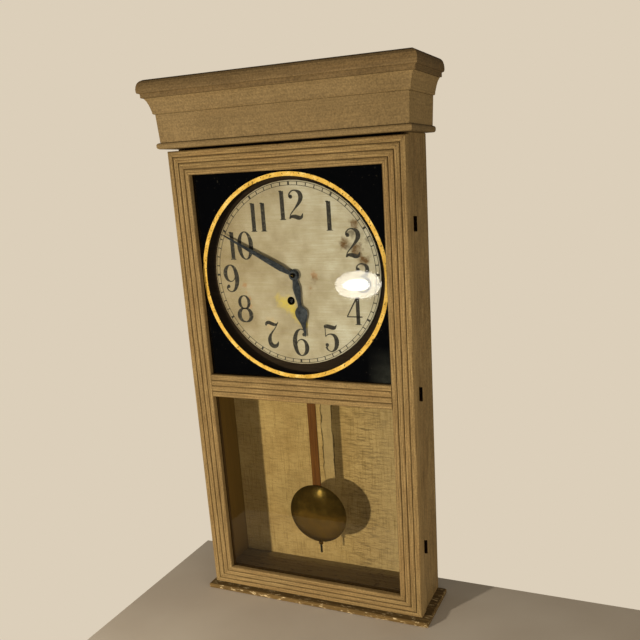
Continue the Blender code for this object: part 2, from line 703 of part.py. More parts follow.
def build_going_train(second_turn):
    """Centre, third and escape wheels. Each pinion is cut in line with its own wheel."""
    centre_turn = meshed(second_turn, SECOND_TEETH, SECOND, POWER_PINION, CENTRE)
    y = (-44.0, -42.8)
    wheel = toothed(CENTRE, TRAIN_TEETH, CENTRE_MODULE, WHEEL_TOOTH, y, centre_turn)
    centre = union(
        wheel,
        toothed(CENTRE, POWER_PINION, SECOND_MODULE, LEAF_TOOTH, (-26.4, -24.3), centre_turn),
        toothed(CENTRE, CANNON_TEETH, CANNON_MODULE, LEAF_TOOTH, (-51.0, -48.0), centre_turn),
        rod(ARBOR_R, MINUTE_HAND_Y - 4.4, BACK_PLATE - GAP - 0.4, "Y", CENTRE, 12),
        rod(PIVOT_R, BACK_PLATE - 2.0, BACK_PLATE + PLATE_T + 0.6, "Y", CENTRE, 12),
        rod(2.4, -48.5, BACK_PLATE - 1.0, "Y", CENTRE, 12),
    )
    add("centre_wheel", centre, "brass", (CENTRE[0], 0.0, CENTRE[1]))
    third_turn = meshed(centre_turn, TRAIN_TEETH, CENTRE, TRAIN_PINION, THIRD)
    y = (-39.0, -37.8)
    wheel = toothed(THIRD, TRAIN_TEETH, THIRD_MODULE, WHEEL_TOOTH, y, third_turn)
    third = union(
        wheel,
        toothed(THIRD, TRAIN_PINION, CENTRE_MODULE, LEAF_TOOTH, (-44.6, -42.2), third_turn),
        rod(PIVOT_R, FRONT_PLATE - 0.6, BACK_PLATE + PLATE_T + 0.6, "Y", THIRD, 12),
        rod(1.3, FRONT_PLATE + PLATE_T + GAP, BACK_PLATE - GAP, "Y", THIRD, 12),
    )
    add("third_wheel", third, "brass", (THIRD[0], 0.0, THIRD[1]))
    escape_turn = meshed(third_turn, TRAIN_TEETH, THIRD, TRAIN_PINION, ESCAPE)
    escape = union(
        escape_blank((-33.5, -32.3)),
        toothed(ESCAPE, TRAIN_PINION, THIRD_MODULE, LEAF_TOOTH, (-39.6, -37.2), escape_turn),
        rod(PIVOT_R, FRONT_PLATE - 0.6, BACK_PLATE + PLATE_T + 0.6, "Y", ESCAPE, 12),
        rod(1.2, FRONT_PLATE + PLATE_T + GAP, BACK_PLATE - GAP, "Y", ESCAPE, 12),
    )
    add("escape_wheel", escape, "brass", (ESCAPE[0], 0.0, ESCAPE[1]))
    return centre_turn


def build_motion_work(centre_turn):
    """The minute wheel on its stud, and the hour wheel whose pipe carries the hour hand."""
    turn = meshed(centre_turn, CANNON_TEETH, CENTRE, MINUTE_TEETH, MINUTE_WHEEL)
    minute = union(
        toothed(MINUTE_WHEEL, MINUTE_TEETH, CANNON_MODULE, WHEEL_TOOTH, (-50.4, -49.0), turn),
        toothed(MINUTE_WHEEL, MINUTE_PINION, HOUR_MODULE, LEAF_TOOTH, (-53.1, -50.2), turn),
        rod(1.2, -53.1, -46.5, "Y", MINUTE_WHEEL, 12),
    )
    add("minute_wheel", minute, "brass", (MINUTE_WHEEL[0], 0.0, MINUTE_WHEEL[1]))
    turn = meshed(turn, MINUTE_PINION, MINUTE_WHEEL, HOUR_TEETH, CENTRE)
    hour = union(
        toothed(CENTRE, HOUR_TEETH, HOUR_MODULE, WHEEL_TOOTH, (-52.8, -51.6), turn),
        rod(PIPE_R, HOUR_HAND_Y - HAND_T - 0.6, -52.0, "Y", CENTRE, 16),
    )
    hour = cut(hour, rod(ARBOR_R + RUNNING, HOUR_HAND_Y - 10.0, -50.0, "Y", CENTRE, 16))
    add("hour_wheel", hour, "brass", (CENTRE[0], 0.0, CENTRE[1]))


def build_verge():
    """Anchor, arbor and crutch: the crutch's fork stands astride the pendulum rod."""
    x, z = VERGE
    half = [
        (3.0, z + 1.4), (12.6, z - 8.0), (13.8, z - 14.6), (12.7, z - 14.2), (11.4, z - 8.8), (2.4, z - 2.6),
    ]
    anchor = prism([(x + a, b) for a, b in half] + [(x - a, b) for a, b in half[::-1]], (-34.0, -31.8))
    bar_y = (-57.6, -56.2)
    crutch = [
        box((-1.6, 1.6), bar_y, (207.0, z + 2.0)),
        box((-3.3, 3.3), bar_y, (204.0, 208.0)),
        box((-3.3, -1.9), (-63.6, -56.4), (204.0, 208.0)),
        box((1.9, 3.3), (-63.6, -56.4), (204.0, 208.0)),
    ]
    arbor = rod(PIVOT_R, bar_y[0] + 0.2, BACK_PLATE + PLATE_T + 0.6, "Y", VERGE, 12)
    add("verge", union(arbor, anchor, *crutch), "steel", (x, 0.0, z))


def build_suspension():
    x, z = VERGE
    stud = rod(3.4, -66.4, FRONT_PLATE - GAP, "Y", (x, z + 9.0), 16)
    slot = box((-1.0, 1.0), (-65.4, -55.4), (z + 4.0, z + 10.5))
    add("suspension_stud", cut(stud, slot), "brass")
    loop_y = (ROD_Y - 1.2, ROD_Y + 1.2)
    ring = cut(
        rod(LOOP_R[1], *loop_y, "Y", CENTRE, 32),
        rod(LOOP_R[0], loop_y[0] - 1, loop_y[1] + 1, "Y", CENTRE, 32),
    )
    pendulum_rod = union(
        ring,
        box((-0.25, 0.25), (-64.9, -58.6), (z - 6.0, z + 9.8)),
        rod(ROD_R, DIAL_Z + LOOP_R[0] + 1.0, z - 5.0, "Z", (x, ROD_Y), 12),
        rod(ROD_R, STICK_Z[1] + GAP, DIAL_Z - LOOP_R[0] - 1.0, "Z", (x, ROD_Y), 12),
    )
    add("pendulum_rod", pendulum_rod, "steel", (x, 0.0, z))


def build_pendulum():
    x, z = VERGE
    pivot = (x, 0.0, z)
    half = STICK_W / 2
    add("pendulum_stick", box((-half, half), STICK_Y, STICK_Z), "stick_wood", pivot, ease=0.5)
    front = BOB_BACK - BOB_RIM_T
    section = [(0.0, BOB_BACK), (BOB_R, BOB_BACK), (BOB_R, front)]
    for k in range(1, 8):
        share = k / 7
        section.append((BOB_R * (1 - share), front - BOB_DOME * sin(share * pi / 2) ** 1.3))
    disc = turned(section, (x, BOB_Z), 44)
    room = 0.4
    strap = box((-half - 2.4, half + 2.4), (BOB_BACK - 0.4, STICK_Y[1] + room + 1.4), STRAP_Z)
    channel = box(
        (-half - room, half + room), (BOB_BACK, STICK_Y[1] + room), (STRAP_Z[0] - 2, STRAP_Z[1] + 2)
    )
    add("pendulum_bob", union(disc, cut(strap, channel)), "bob_brass", (x, ROD_Y, BOB_Z), 35)
    screw = rod(SCREW_R, SCREW_BOTTOM, STICK_Z[0] - GAP, "Z", (x, ROD_Y), 12)
    add("rating_screw", screw, "steel", pivot)
    nut = cut(
        rod(4.0, *NUT_Z, "Z", (x, ROD_Y), 12),
        rod(SCREW_R + FIT, NUT_Z[0] - 1, NUT_Z[1] + 1, "Z", (x, ROD_Y), 12),
    )
    add("rating_nut", nut, "brass", (x, ROD_Y, NUT_Z[0]))


clear_scene()
PARTS = collection("wall_clock")
CUTTERS = collection("cutters")
MATERIALS = {
    "painted_wood": material("painted_wood", (0.38, 0.27, 0.12), 0.0, 0.55),
    "back_panel": material("back_panel", (0.36, 0.26, 0.11), 0.0, 0.7),
    "inside_wood": material("inside_wood", (0.06, 0.035, 0.02), 0.0, 0.7),
    "bare_wood": material("bare_wood", (0.05, 0.03, 0.018), 0.0, 0.65),
    "stick_wood": material("stick_wood", (0.13, 0.045, 0.015), 0.0, 0.45),
    "glass_upper": material("glass_upper", (0.9, 0.9, 0.9), 0.0, 0.03, 1.0),
    "glass_lower": material("glass_lower", (0.95, 0.95, 0.95), 0.0, 0.03, 1.0),
    "dial_paint": material("dial_paint", (0.42, 0.36, 0.24), 0.0, 0.6),
    "blued_steel": material("blued_steel", (0.03, 0.03, 0.04), 1.0, 0.35),
    "steel": material("steel", (0.3, 0.29, 0.28), 1.0, 0.4),
    "brass": material("brass", (0.6, 0.42, 0.16), 1.0, 0.35),
    "bob_brass": material("bob_brass", (0.35, 0.26, 0.1), 1.0, 0.38),
}
build_case()
build_crown()
build_door()
build_hinges()
build_hook()
build_dial()
build_hands()
build_movement_frame()
SECOND_TURN = build_power()
CENTRE_TURN = build_going_train(SECOND_TURN)
build_motion_work(CENTRE_TURN)
build_verge()
build_suspension()
build_pendulum()
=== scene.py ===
# %% [markdown]
# # A painted pendulum wall clock, in Blender
# The clock is a shallow wooden case with a glazed door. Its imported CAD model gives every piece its
# place, so this lesson only makes the looks: the reeded door, the dial, the hands, the glass, the
# bob, and a finish for each surface. Shapes are in millimetres until a mesh is made. The camera, the
# lights, the floor and the places that a shader compares are in metres.

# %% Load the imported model
import math
import bmesh
import bpy
import numpy as np
from mathutils import Matrix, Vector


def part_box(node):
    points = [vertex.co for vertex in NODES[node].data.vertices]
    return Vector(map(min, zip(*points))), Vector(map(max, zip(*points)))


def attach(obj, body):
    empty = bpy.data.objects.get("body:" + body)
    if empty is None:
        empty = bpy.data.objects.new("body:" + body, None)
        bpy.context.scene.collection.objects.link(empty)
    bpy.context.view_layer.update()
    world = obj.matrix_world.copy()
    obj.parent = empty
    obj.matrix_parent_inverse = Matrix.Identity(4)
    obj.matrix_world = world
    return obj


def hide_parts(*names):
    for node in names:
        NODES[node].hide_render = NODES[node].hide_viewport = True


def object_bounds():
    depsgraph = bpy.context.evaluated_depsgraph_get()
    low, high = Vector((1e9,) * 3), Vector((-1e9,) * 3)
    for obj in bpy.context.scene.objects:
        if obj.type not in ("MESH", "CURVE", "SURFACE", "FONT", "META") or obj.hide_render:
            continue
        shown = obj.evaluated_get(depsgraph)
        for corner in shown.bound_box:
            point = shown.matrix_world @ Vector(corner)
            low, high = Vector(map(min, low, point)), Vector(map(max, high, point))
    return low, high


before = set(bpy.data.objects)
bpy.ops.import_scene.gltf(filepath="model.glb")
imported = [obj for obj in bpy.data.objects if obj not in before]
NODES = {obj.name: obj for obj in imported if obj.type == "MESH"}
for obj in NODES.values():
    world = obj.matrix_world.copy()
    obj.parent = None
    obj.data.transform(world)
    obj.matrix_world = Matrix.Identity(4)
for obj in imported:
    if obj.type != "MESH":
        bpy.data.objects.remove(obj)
CAD_BOX = [list(corner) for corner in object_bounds()]
print("CAD box", CAD_BOX)

# %% [markdown]
# ## Helpers
# Colours are written as sRGB hex, as a paint chart gives them, and one function turns them to the
# linear numbers that a shader needs. One more function adds a shader node with its settings and
# links, so a material reads as a short list of steps.

# %% Colour and node helpers
MM = 0.001


def linear(colour):
    """An sRGB hex colour as linear RGBA."""
    shares = [int(colour[i:i + 2], 16) / 255 for i in (1, 3, 5)]
    return [s / 12.92 if s <= 0.04045 else ((s + 0.055) / 1.055) ** 2.4 for s in shares] + [1.0]


def add(tree, kind, links=None, stops=None, **settings):
    """Adds a node. links gives inputs their values: a node stands for its own first output."""
    made = tree.nodes.new("ShaderNode" + kind)
    for name, value in settings.items():
        setattr(made, name, value)
    for name, value in (links or {}).items():
        if isinstance(value, bpy.types.Node):
            value = value.outputs[0]
        if isinstance(value, bpy.types.NodeSocket):
            tree.links.new(value, made.inputs[name])
        else:
            made.inputs[name].default_value = value
    if stops:
        elements = made.color_ramp.elements
        while len(elements) < len(stops):
            elements.new(0.5)
        for element, (place, colour) in zip(elements, stops):
            element.position = place
            element.color = linear(colour) if isinstance(colour, str) else [colour] * 3 + [1.0]
    return made


def started(name):
    """A new material, its emptied tree, its output node and each point's place in metres."""
    made = bpy.data.materials.new(name)
    made.use_nodes = True
    tree = made.node_tree
    tree.nodes.clear()
    out = add(tree, "OutputMaterial")
    return made, tree, out, add(tree, "TexCoord").outputs["Object"]


def coated(made, tree, out, values, relief=None):
    """Ends a material with its surface. relief is a height, its strength and its depth in metres."""
    if relief:
        height, strength, depth = relief
        bump = add(tree, "Bump", {"Height": height, "Strength": strength, "Distance": depth})
        values = {**values, "Normal": bump}
    surface = add(tree, "BsdfPrincipled", values)
    tree.links.new(surface.outputs[0], out.inputs[0])
    return made


def blended(tree, share, first, second, way="MIX"):
    """Two colours mixed by a share, as an output."""
    a, b = (linear(c) if isinstance(c, str) else c for c in (first, second))
    mix = add(tree, "Mix", {0: share, 6: a, 7: b}, data_type="RGBA", blend_type=way)
    return mix.outputs[2]


def dress(node, material):
    """Gives a CAD node its finish."""
    slots = NODES[node].material_slots
    for slot in slots:
        slot.material = material
    if not slots:
        NODES[node].data.materials.append(material)


def piece(name, points, faces, material, body, replaces=(), smooth=35.0):
    """A new mesh from points in millimetres, smooth where its faces meet under an angle."""
    mesh = bpy.data.meshes.new(name)
    mesh.from_pydata([[c * MM for c in p] for p in points], [], faces)
    bm = bmesh.new()
    bm.from_mesh(mesh)
    bmesh.ops.recalc_face_normals(bm, faces=bm.faces)
    bm.to_mesh(mesh)
    bm.free()
    mesh.shade_smooth()
    mesh.set_sharp_from_angle(angle=math.radians(smooth))
    made = bpy.data.objects.new(name, mesh)
    bpy.context.scene.collection.objects.link(made)
    mesh.materials.append(material)
    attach(made, body)
    if replaces:
        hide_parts(*replaces)
    return made


# %% [markdown]
# ## Camera
# The view is from the right of the clock and above its middle, by someone standing 1.3 m away. It
# looks 15 degrees down and is rolled by 3, so the case's upright edges lean and draw together.

# %% Camera
camera = bpy.data.objects.new("camera", bpy.data.cameras.new("camera"))
bpy.context.scene.collection.objects.link(camera)
RIGHT = (0.92323738, 0.38046579, -0.05365192)
UP = (-0.05266888, 0.26363103, 0.96318465)
BACK = (0.38060312, -0.88642228, 0.26343273)
PLACE = (0.547966, -1.133790, 0.335580)
camera.matrix_world = Matrix([[RIGHT[i], UP[i], BACK[i], PLACE[i]] for i in range(3)] + [[0, 0, 0, 1]])
camera.data.sensor_width = 36.0
camera.data.lens = 41.850
camera.data.shift_x = -0.057545
camera.data.shift_y = 0.086319
bpy.context.scene.camera = camera
print("camera at", PLACE)

# %% [markdown]
# ## Light, floor and surroundings
# A small warm lamp low at the front left throws the pendulum's sharp shadow on the back board. What
# the upper pane mirrors is a dim globe round a brighter bulb. They stand beside the lamp and light
# nothing, so that shadow and glow can each have their place. A far window, too, is only mirrored, as
# the highlight on the bob. Two wide soft lights and the pale room fill the shade. The clock stands at
# the left end of a table with a pale cloth, so the floor is pale too.

# %% World and lights
scene = bpy.context.scene
scene.view_settings.view_transform = "Standard"
scene.view_settings.look = "None"
world = bpy.data.worlds.new("room")
scene.world = world
world.use_nodes = True
world.node_tree.nodes.clear()
WORLD_TREE = world.node_tree
# What the eye sees behind the clock, what the room adds to its light, and what the glass mirrors.
seen = add(WORLD_TREE, "Background", {"Color": linear("#DCCFBA"), "Strength": 1.0})
room = add(WORLD_TREE, "Background", {"Color": linear("#F3E6CF"), "Strength": 0.20})
dim = add(WORLD_TREE, "Background", {"Color": linear("#C9D4E8"), "Strength": 0.03})
ray = add(WORLD_TREE, "LightPath")
lit = add(WORLD_TREE, "MixShader", {0: ray.outputs["Is Glossy Ray"], 1: room, 2: dim})
both = add(WORLD_TREE, "MixShader", {0: ray.outputs["Is Camera Ray"], 1: lit, 2: seen})
add(WORLD_TREE, "OutputWorld", {0: both})


def lamp(name, place, aim, watts, width, height, colour):
    """An area light that faces a point, with places and sizes in metres."""
    data = bpy.data.lights.new(name, "AREA")
    data.shape = "RECTANGLE"
    data.size, data.size_y = width, height
    data.energy = watts
    data.color = linear(colour)[:3]
    made = bpy.data.objects.new(name, data)
    scene.collection.objects.link(made)
    made.location = place
    away = made.location - type(made.location)(aim)
    made.rotation_euler = away.to_track_quat("Z", "Y").to_euler()
    return made


key = lamp("key_lamp", (-0.64, -1.51, -0.06), (0.0, 0.0, -0.1), 29.0, 0.06, 0.06, "#FFF1DC")
globe = lamp("key_globe", (-0.48, -1.515, -0.056), (0.11, -0.1, 0.17), 0.62, 0.165, 0.10, "#FFFBF2")
bulb = lamp("key_bulb", (-0.48, -1.500, -0.054), (0.11, -0.1, 0.17), 0.22, 0.095, 0.04, "#FFFBF2")
for light in (globe, bulb):
    light.data.shape = "ELLIPSE"
window = lamp("far_window", (1.35, -1.30, 0.75), (0.0, 0.0, -0.2), 1.6, 0.13, 0.13, "#FFF3DC")
left_fill = lamp("left_fill", (-1.4, -1.5, 0.1), (0.0, 0.0, -0.1), 6.0, 1.4, 1.0, "#FFF3DE")
right_fill = lamp("right_fill", (1.35, -1.05, -0.25), (0.1, 0.0, -0.25), 19.0, 1.0, 0.8, "#FFF0DA")
for light in (globe, bulb, window):
    light.visible_diffuse = False
for light in (key, left_fill, right_fill):
    light.visible_glossy = False

# %% Floor
BASE = min(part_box("base_board")[0].z, CAD_BOX[0][2])
FLOOR_GAP = 0.0002
TABLE_X, TABLE_Y = (-0.32, 1.1), (-0.396, 0.045)
floor_mesh = bpy.data.meshes.new("floor")
corners = [(TABLE_X[i], TABLE_Y[j]) for i, j in ((0, 0), (1, 0), (1, 1), (0, 1))]
floor_mesh.from_pydata([(x, y, BASE - FLOOR_GAP) for x, y in corners], [], [(0, 1, 2, 3)])
floor = bpy.data.objects.new("floor", floor_mesh)
scene.collection.objects.link(floor)
linen, tree, out, place = started("bleached_linen_cloth")
folds = add(tree, "TexNoise", {"Vector": place, "Scale": 5.0, "Detail": 3.0})
tone = add(tree, "ValToRGB", {0: folds}, stops=[(0.3, "#BDB3A6"), (0.7, "#C9C1B5")])
floor_mesh.materials.append(coated(linen, tree, out, {"Base Color": tone, "Roughness": 0.9}))

# %% [markdown]
# ## Aged oil paint
# The case is softwood under an old brushed oil paint, an olive buff that has yellowed and darkened.
# The brush leaves fine ridges along each board, so its streaks run along the length. Dirt has stayed
# in the grooves, which are darkened further by their depth as painted shade, and a few knocks show
# dark. The crown is smoother than the rest, so its streaks are faint. The paint could be one noise,
# but then every board would look cut from one sheet: here each board's streaks follow its own length.

# %% Paint finish
STREAK_WIDTH = 1.9  # bristle marks are finer than this, but would not show
STREAK_LENGTH = 55.0
PATCH = 110.0  # slow change of tone from uneven fading
KNOCK = 9.0  # spacing of small dents and specks
GRIT = 2.6  # pores and dust in the paint, drawn coarse enough to show


def stretched(tree, place, along, across_mm, along_mm, detail=4.0, rough=0.6):
    """Noise drawn out along one axis, with its real size in millimetres."""
    scale = [1 / (across_mm * MM)] * 3
    scale[along] = 1 / (along_mm * MM)
    moved = add(tree, "Mapping", {"Vector": place, "Scale": scale})
    noise = add(tree, "TexNoise", {"Vector": moved, "Scale": 1.0, "Detail": detail, "Roughness": rough})
    return noise


def oil_paint(name, along, grooved=False, dark="#86714B", light="#9A855C", brushed=0.8):
    """Oil paint with streaks along axis 0, 1 or 2. brushed is how strongly they show."""
    made, tree, out, place = started(name)
    slow = add(tree, "TexNoise", {
        "Vector": place, "Scale": 1 / (PATCH * MM), "Detail": 5.0, "Roughness": 0.6})
    tone = add(tree, "ValToRGB", {0: slow}, stops=[(0.3, dark), (0.72, light)])
    streak = stretched(tree, place, along, STREAK_WIDTH, STREAK_LENGTH)
    shade = add(tree, "ValToRGB", {0: streak}, stops=[(0.30, "#9A8E7C"), (0.5, "#D4CEC4"), (0.66, "#FFFDF6")])
    colour = blended(tree, brushed, tone, shade, "MULTIPLY")
    warm = stretched(tree, place, along, 14.0, 160.0, 3.0)
    warmth = add(tree, "MapRange", {
        "Value": warm, "From Min": 0.5, "From Max": 0.72, "To Max": 0.35 * brushed})
    colour = blended(tree, warmth, colour, "#8A6C42")
    grain = add(tree, "TexNoise", {
        "Vector": place, "Scale": 1 / (GRIT * MM), "Detail": 2.0, "Roughness": 0.6})
    speckle = add(tree, "MapRange", {
        "Value": grain, "From Min": 0.32, "From Max": 0.68, "To Min": 0.76, "To Max": 1.24})
    colour = blended(tree, 1.0, colour, speckle, "MULTIPLY")
    worn = add(tree, "TexNoise", {
        "Vector": place, "Scale": 1 / (KNOCK * MM), "Detail": 6.0, "Roughness": 0.75})
    knocks = add(tree, "MapRange", {"Value": worn, "From Min": 0.64, "From Max": 0.70, "To Max": brushed})
    colour = blended(tree, knocks, colour, "#463217")
    # Darker by groove depth: dirt in the grooves, and painted shade in the grooves and the rabbet.
    if grooved:
        depth = add(tree, "Attribute", attribute_name="groove")
        patchy = add(tree, "Math", {0: depth.outputs["Fac"], 1: streak}, operation="MULTIPLY")
        groove_dirt_and_painted_shade = add(tree, "MapRange", {"Value": patchy, "From Min": 0.14, "From Max": 0.62, "To Max": 0.55})
        colour = blended(tree, groove_dirt_and_painted_shade, colour, "#3A2A12")
    rise = add(tree, "Math", {0: streak, 1: worn}, operation="ADD")
    gloss = add(tree, "MapRange", {"Value": streak, "To Min": 0.48, "To Max": 0.68})
    return coated(made, tree, out, {
        "Base Color": colour, "Roughness": gloss, "Specular IOR Level": 0.4}, (rise, brushed * 0.9, 0.0008))


paint_across = oil_paint("smooth_aged_oil_paint_along_the_crown", 0, dark="#715F3F", light="#806D4B",
                         brushed=0.3)
paint_deep = oil_paint("smooth_aged_oil_paint_front_to_back", 1, dark="#84704A", light="#967F56", brushed=0.3)
for name in ("crown_nosing", "frieze_front", "cove_front"):
    dress(name, paint_across)
# The cap's paint is darker than the crown's front: painted shade, as little light reaches the cap's top.
dress("crown_cap", oil_paint("oil_paint_on_crown_cap_darkened_as_painted_shade", 0, dark="#635236", light="#746142", brushed=0.4))
for name in ("frieze_left", "frieze_right", "cove_left", "cove_right"):
    dress(name, paint_deep)
print("painted crown pieces", 8)

# %% [markdown]
# ## Worn edges
# A painted edge that has been handled for a century is never sharp. A bevel modifier on the CAD
# pieces rounds their edges by a fraction of a millimetre, enough for each one to catch a thin light.
# The broad faces then keep their own normals, or they would shade like cushions.

# %% Ease the edges
WORN, WORN_DIAL = 0.6, 0.3
SAME_POINT = 0.00001  # metres
SHARP = math.radians(35)


def ease(name, width):
    """Rounds a CAD node's sharp edges. The weld joins the corners that its file keeps apart."""
    node = NODES[name]
    node.data.shade_smooth()
    weld = node.modifiers.new("weld", "WELD")
    weld.merge_threshold = SAME_POINT
    bevel = node.modifiers.new("worn_edge", "BEVEL")
    bevel.width = width * MM
    bevel.segments = 2
    bevel.angle_limit = SHARP
    facing = node.modifiers.new("flat_faces", "WEIGHTED_NORMAL")
    facing.weight = 100


for name in ("frieze_front", "frieze_left", "frieze_right", "base_board", "pendulum_stick"):
    ease(name, WORN)

# %% [markdown]
# ## Stained and bare wood
# The sides are painted inside and out, but what is meant to stay unseen is only stained. The insides of
# the sides are a darker, warmer brown, as painted shade inside the case. The base board has lost its
# paint: it is brown with handling, and pale wood shows where it is chipped. Softwood grain runs along
# each board in lines a few millimetres apart.

# %% Wood finishes
GRAIN_WIDTH = 2.2
GRAIN_LENGTH = 120.0


def softwood(name, along, dark, light, rough=0.7, chips=None):
    """Stained or bare softwood with its grain along axis 0, 1 or 2."""
    made, tree, out, place = started(name)
    grain = stretched(tree, place, along, GRAIN_WIDTH, GRAIN_LENGTH, 6.0, 0.65)
    tone = add(tree, "ValToRGB", {0: grain}, stops=[(0.28, dark), (0.7, light)])
    colour = tone
    if chips:
        bites = stretched(tree, place, along, 4.0, 12.0, 5.0, 0.7)
        share = add(tree, "MapRange", {"Value": bites, "From Min": 0.58, "From Max": 0.64})
        colour = blended(tree, share, colour, chips)
    return coated(made, tree, out, {
        "Base Color": colour, "Roughness": rough, "Specular IOR Level": 0.35}, (grain, 0.5, 0.0007))


inside_up = softwood("stained_softwood_upright", 2, "#2A1B0C", "#4A3318")
# Nearly black: on the board behind the dial this paints the shade in the gap round the dial as well as its
# stain.
inside_across = softwood("stained_softwood_across_darkened_as_painted_shade", 0, "#1C150E", "#30251A")
base_wood = softwood("worn_bare_softwood", 0, "#3E2F16", "#7A633C", 0.75, "#C2AE86")
dress("base_board", base_wood)
for name in ("case_top", "dial_board"):
    dress(name, inside_across)
dress("case_floor", softwood("dusty_painted_softwood", 0, "#5C4A2C", "#8E7950", 0.8, "#3A2B16"))
for name in ("glazing_bead_upper", "glazing_bead_lower"):
    dress(name, inside_up)


def two_faced(name, outer, inner, axis, limit):
    """One board with two finishes: outer where the coordinate's size is over the limit, in mm."""
    made = outer.copy()
    made.name = name
    tree = made.node_tree
    out = next(n for n in tree.nodes if n.type == "OUTPUT_MATERIAL")
    shown = out.inputs[0].links[0].from_socket
    place = add(tree, "TexCoord").outputs["Object"]
    grain = stretched(tree, place, 2, GRAIN_WIDTH, GRAIN_LENGTH, 6.0, 0.65)
    tone = add(tree, "ValToRGB", {0: grain}, stops=[(0.28, inner[0]), (0.7, inner[1])])
    wood = add(tree, "BsdfPrincipled", {"Base Color": tone, "Roughness": 0.75})
    split = add(tree, "SeparateXYZ", {0: place})
    size = add(tree, "Math", {0: split.outputs[axis]}, operation="ABSOLUTE")
    past = add(tree, "Math", {0: size, 1: limit * MM}, operation="GREATER_THAN")
    both = add(tree, "MixShader", {0: past, 1: wood, 2: shown})
    tree.links.new(both.outputs[0], out.inputs[0])
    return made


paint_up = oil_paint("aged_oil_paint_brushed_upright", 2)
# The inside faces take a darker, warmer brown than the paint outside: painted shade and warm bounce light
# inside the case.
side_paint = two_faced("aged_oil_paint_with_painted_warm_shade_inside", paint_up, ("#553E18", "#6C5021"), 0, 190.0)
for name in ("case_side_left", "case_side_right"):
    dress(name, side_paint)

# %% [markdown]
# ## Back board
# The back is softwood boards under a thin flat paint, seen through the lower pane. The paint was
# dragged on across the right half, two old cracks run down the middle, and the strip between them
# is greyer. Faint upright fibres and specks of dirt show all over. Its rear face is bare wood.

# %% Back board finish
STRIP_ENDS = (-0.215, -0.165)  # the strip and its cracks fade out between these heights, in metres
STRIP_X = (-0.012, 0.0085)
CRACKS = ((STRIP_X[0], 0.0016, "#2B1E0C"), (STRIP_X[1], 0.0014, "#33240F"))  # place, width, colour
CRACK_WANDER = 0.010


def back_paint():
    """Thin flat paint: matt, its dragged ridges catching the light, with two dark wavy cracks."""
    made, tree, out, place = started("thin_flat_paint_on_back_board")
    split = add(tree, "SeparateXYZ", {0: place})
    slow = add(tree, "TexNoise", {"Vector": place, "Scale": 16.0, "Detail": 6.0, "Roughness": 0.6})
    tone = add(tree, "ValToRGB", {0: slow}, stops=[(0.3, "#A08153"), (0.7, "#B99A68")])
    drag = stretched(tree, place, 0, 2.6, 16.0, 5.0, 0.65)
    marks = add(tree, "ValToRGB", {0: drag}, stops=[(0.38, "#6E604A"), (0.47, "#D2CAB8"), (0.58, "#FFFFFF")])
    side = add(tree, "MapRange", {
        "Value": split.outputs[0], "From Min": 0.02, "From Max": 0.07, "To Min": 0.25, "To Max": 0.9})
    colour = blended(tree, side, tone, marks, "MULTIPLY")
    paler = add(tree, "MapRange", {
        "Value": split.outputs[0], "From Min": 0.03, "From Max": 0.12, "To Max": 0.55})
    colour = blended(tree, paler, colour, "#CDAF82")
    speck = add(tree, "TexNoise", {"Vector": place, "Scale": 260.0, "Detail": 4.0, "Roughness": 0.7})
    dirt = add(tree, "MapRange", {"Value": speck, "From Min": 0.63, "From Max": 0.70, "To Max": 0.6})
    colour = blended(tree, dirt, colour, "#4A3718")
    fibres = stretched(tree, place, 2, 1.8, 40.0, 5.0, 0.7)
    faint = add(tree, "MapRange", {"Value": fibres, "From Min": 0.52, "From Max": 0.66, "To Max": 0.5})
    colour = blended(tree, faint, colour, "#6E5229")
    wander = stretched(tree, place, 2, 8.0, 24.0, 3.0, 0.5)
    strip = add(tree, "Math", {0: wander, 1: CRACK_WANDER}, operation="MULTIPLY")
    shifted = add(tree, "Math", {0: split.outputs[0], 1: strip}, operation="SUBTRACT")
    high = add(tree, "MapRange", {
        "Value": split.outputs[2], "From Min": STRIP_ENDS[0], "From Max": STRIP_ENDS[1]})
    inside = add(tree, "MapRange", {
        "Value": shifted, "From Min": STRIP_X[0], "From Max": STRIP_X[0] + 0.0005})
    outside = add(tree, "MapRange", {
        "Value": shifted, "From Min": STRIP_X[1] - 0.0005, "From Max": STRIP_X[1], "To Min": 0.5,
        "To Max": 0.0})
    between = add(tree, "Math", {0: inside, 1: outside}, operation="MULTIPLY")
    upper = add(tree, "Math", {0: between, 1: high}, operation="MULTIPLY")
    colour = blended(tree, upper, colour, "#998462")
    for at, width, shade in CRACKS:
        off = add(tree, "Math", {0: shifted, 1: at}, operation="SUBTRACT")
        near = add(tree, "Math", {0: off}, operation="ABSOLUTE")
        line = add(tree, "MapRange", {
            "Value": near, "From Min": width * 0.4, "From Max": width, "To Min": 0.85, "To Max": 0.0})
        kept = add(tree, "Math", {0: line, 1: high}, operation="MULTIPLY")
        colour = blended(tree, kept, colour, shade)
    rise = add(tree, "Math", {0: drag, 1: slow}, operation="ADD")
    return coated(made, tree, out, {
        "Base Color": colour, "Roughness": 0.6, "Specular IOR Level": 0.3}, (rise, 1.0, 0.0022))


back_finish = two_faced("thin_flat_paint_over_bare_back", back_paint(), ("#5B4527", "#84683F"), 1, 6.0)
dress("back_board", back_finish)

# %% [markdown]
# ## Reeded door frame
# Four rounded reeds run round the door, mitred at the outer corners, with a narrow groove between
# each pair. A moulding like this is a section drawn once and pushed along the member, so each one
# is a lofted section whose ends are cut by the mitre. Each point also stores how deep in a groove
# it lies, which the paint reads to darken the grooves: dirt where it settles, and painted shade.

# %% Door section
DOOR_HALF, DOOR_FRONT, DOOR_T = 200.0, -107.0, 24.2
DOOR_LOW, DOOR_HIGH = -383.0, 382.5
STILE_W, TOP_W, LOW_W = 37.2, 38.0, 34.6
RABBET_W, LIP_T = 6.0, 8.7
REEDS, REED_H, GROOVE_W, GROOVE_D = 4, 2.3, 1.0, 0.8
REED_FULLNESS = 0.85  # under one, a reed is fuller than a plain arch
LINE_W, LINE_D = 0.7, 0.55  # the fine line down the middle of each reed
MITRE_GAP = 0.15
ROUND_STEPS = 20


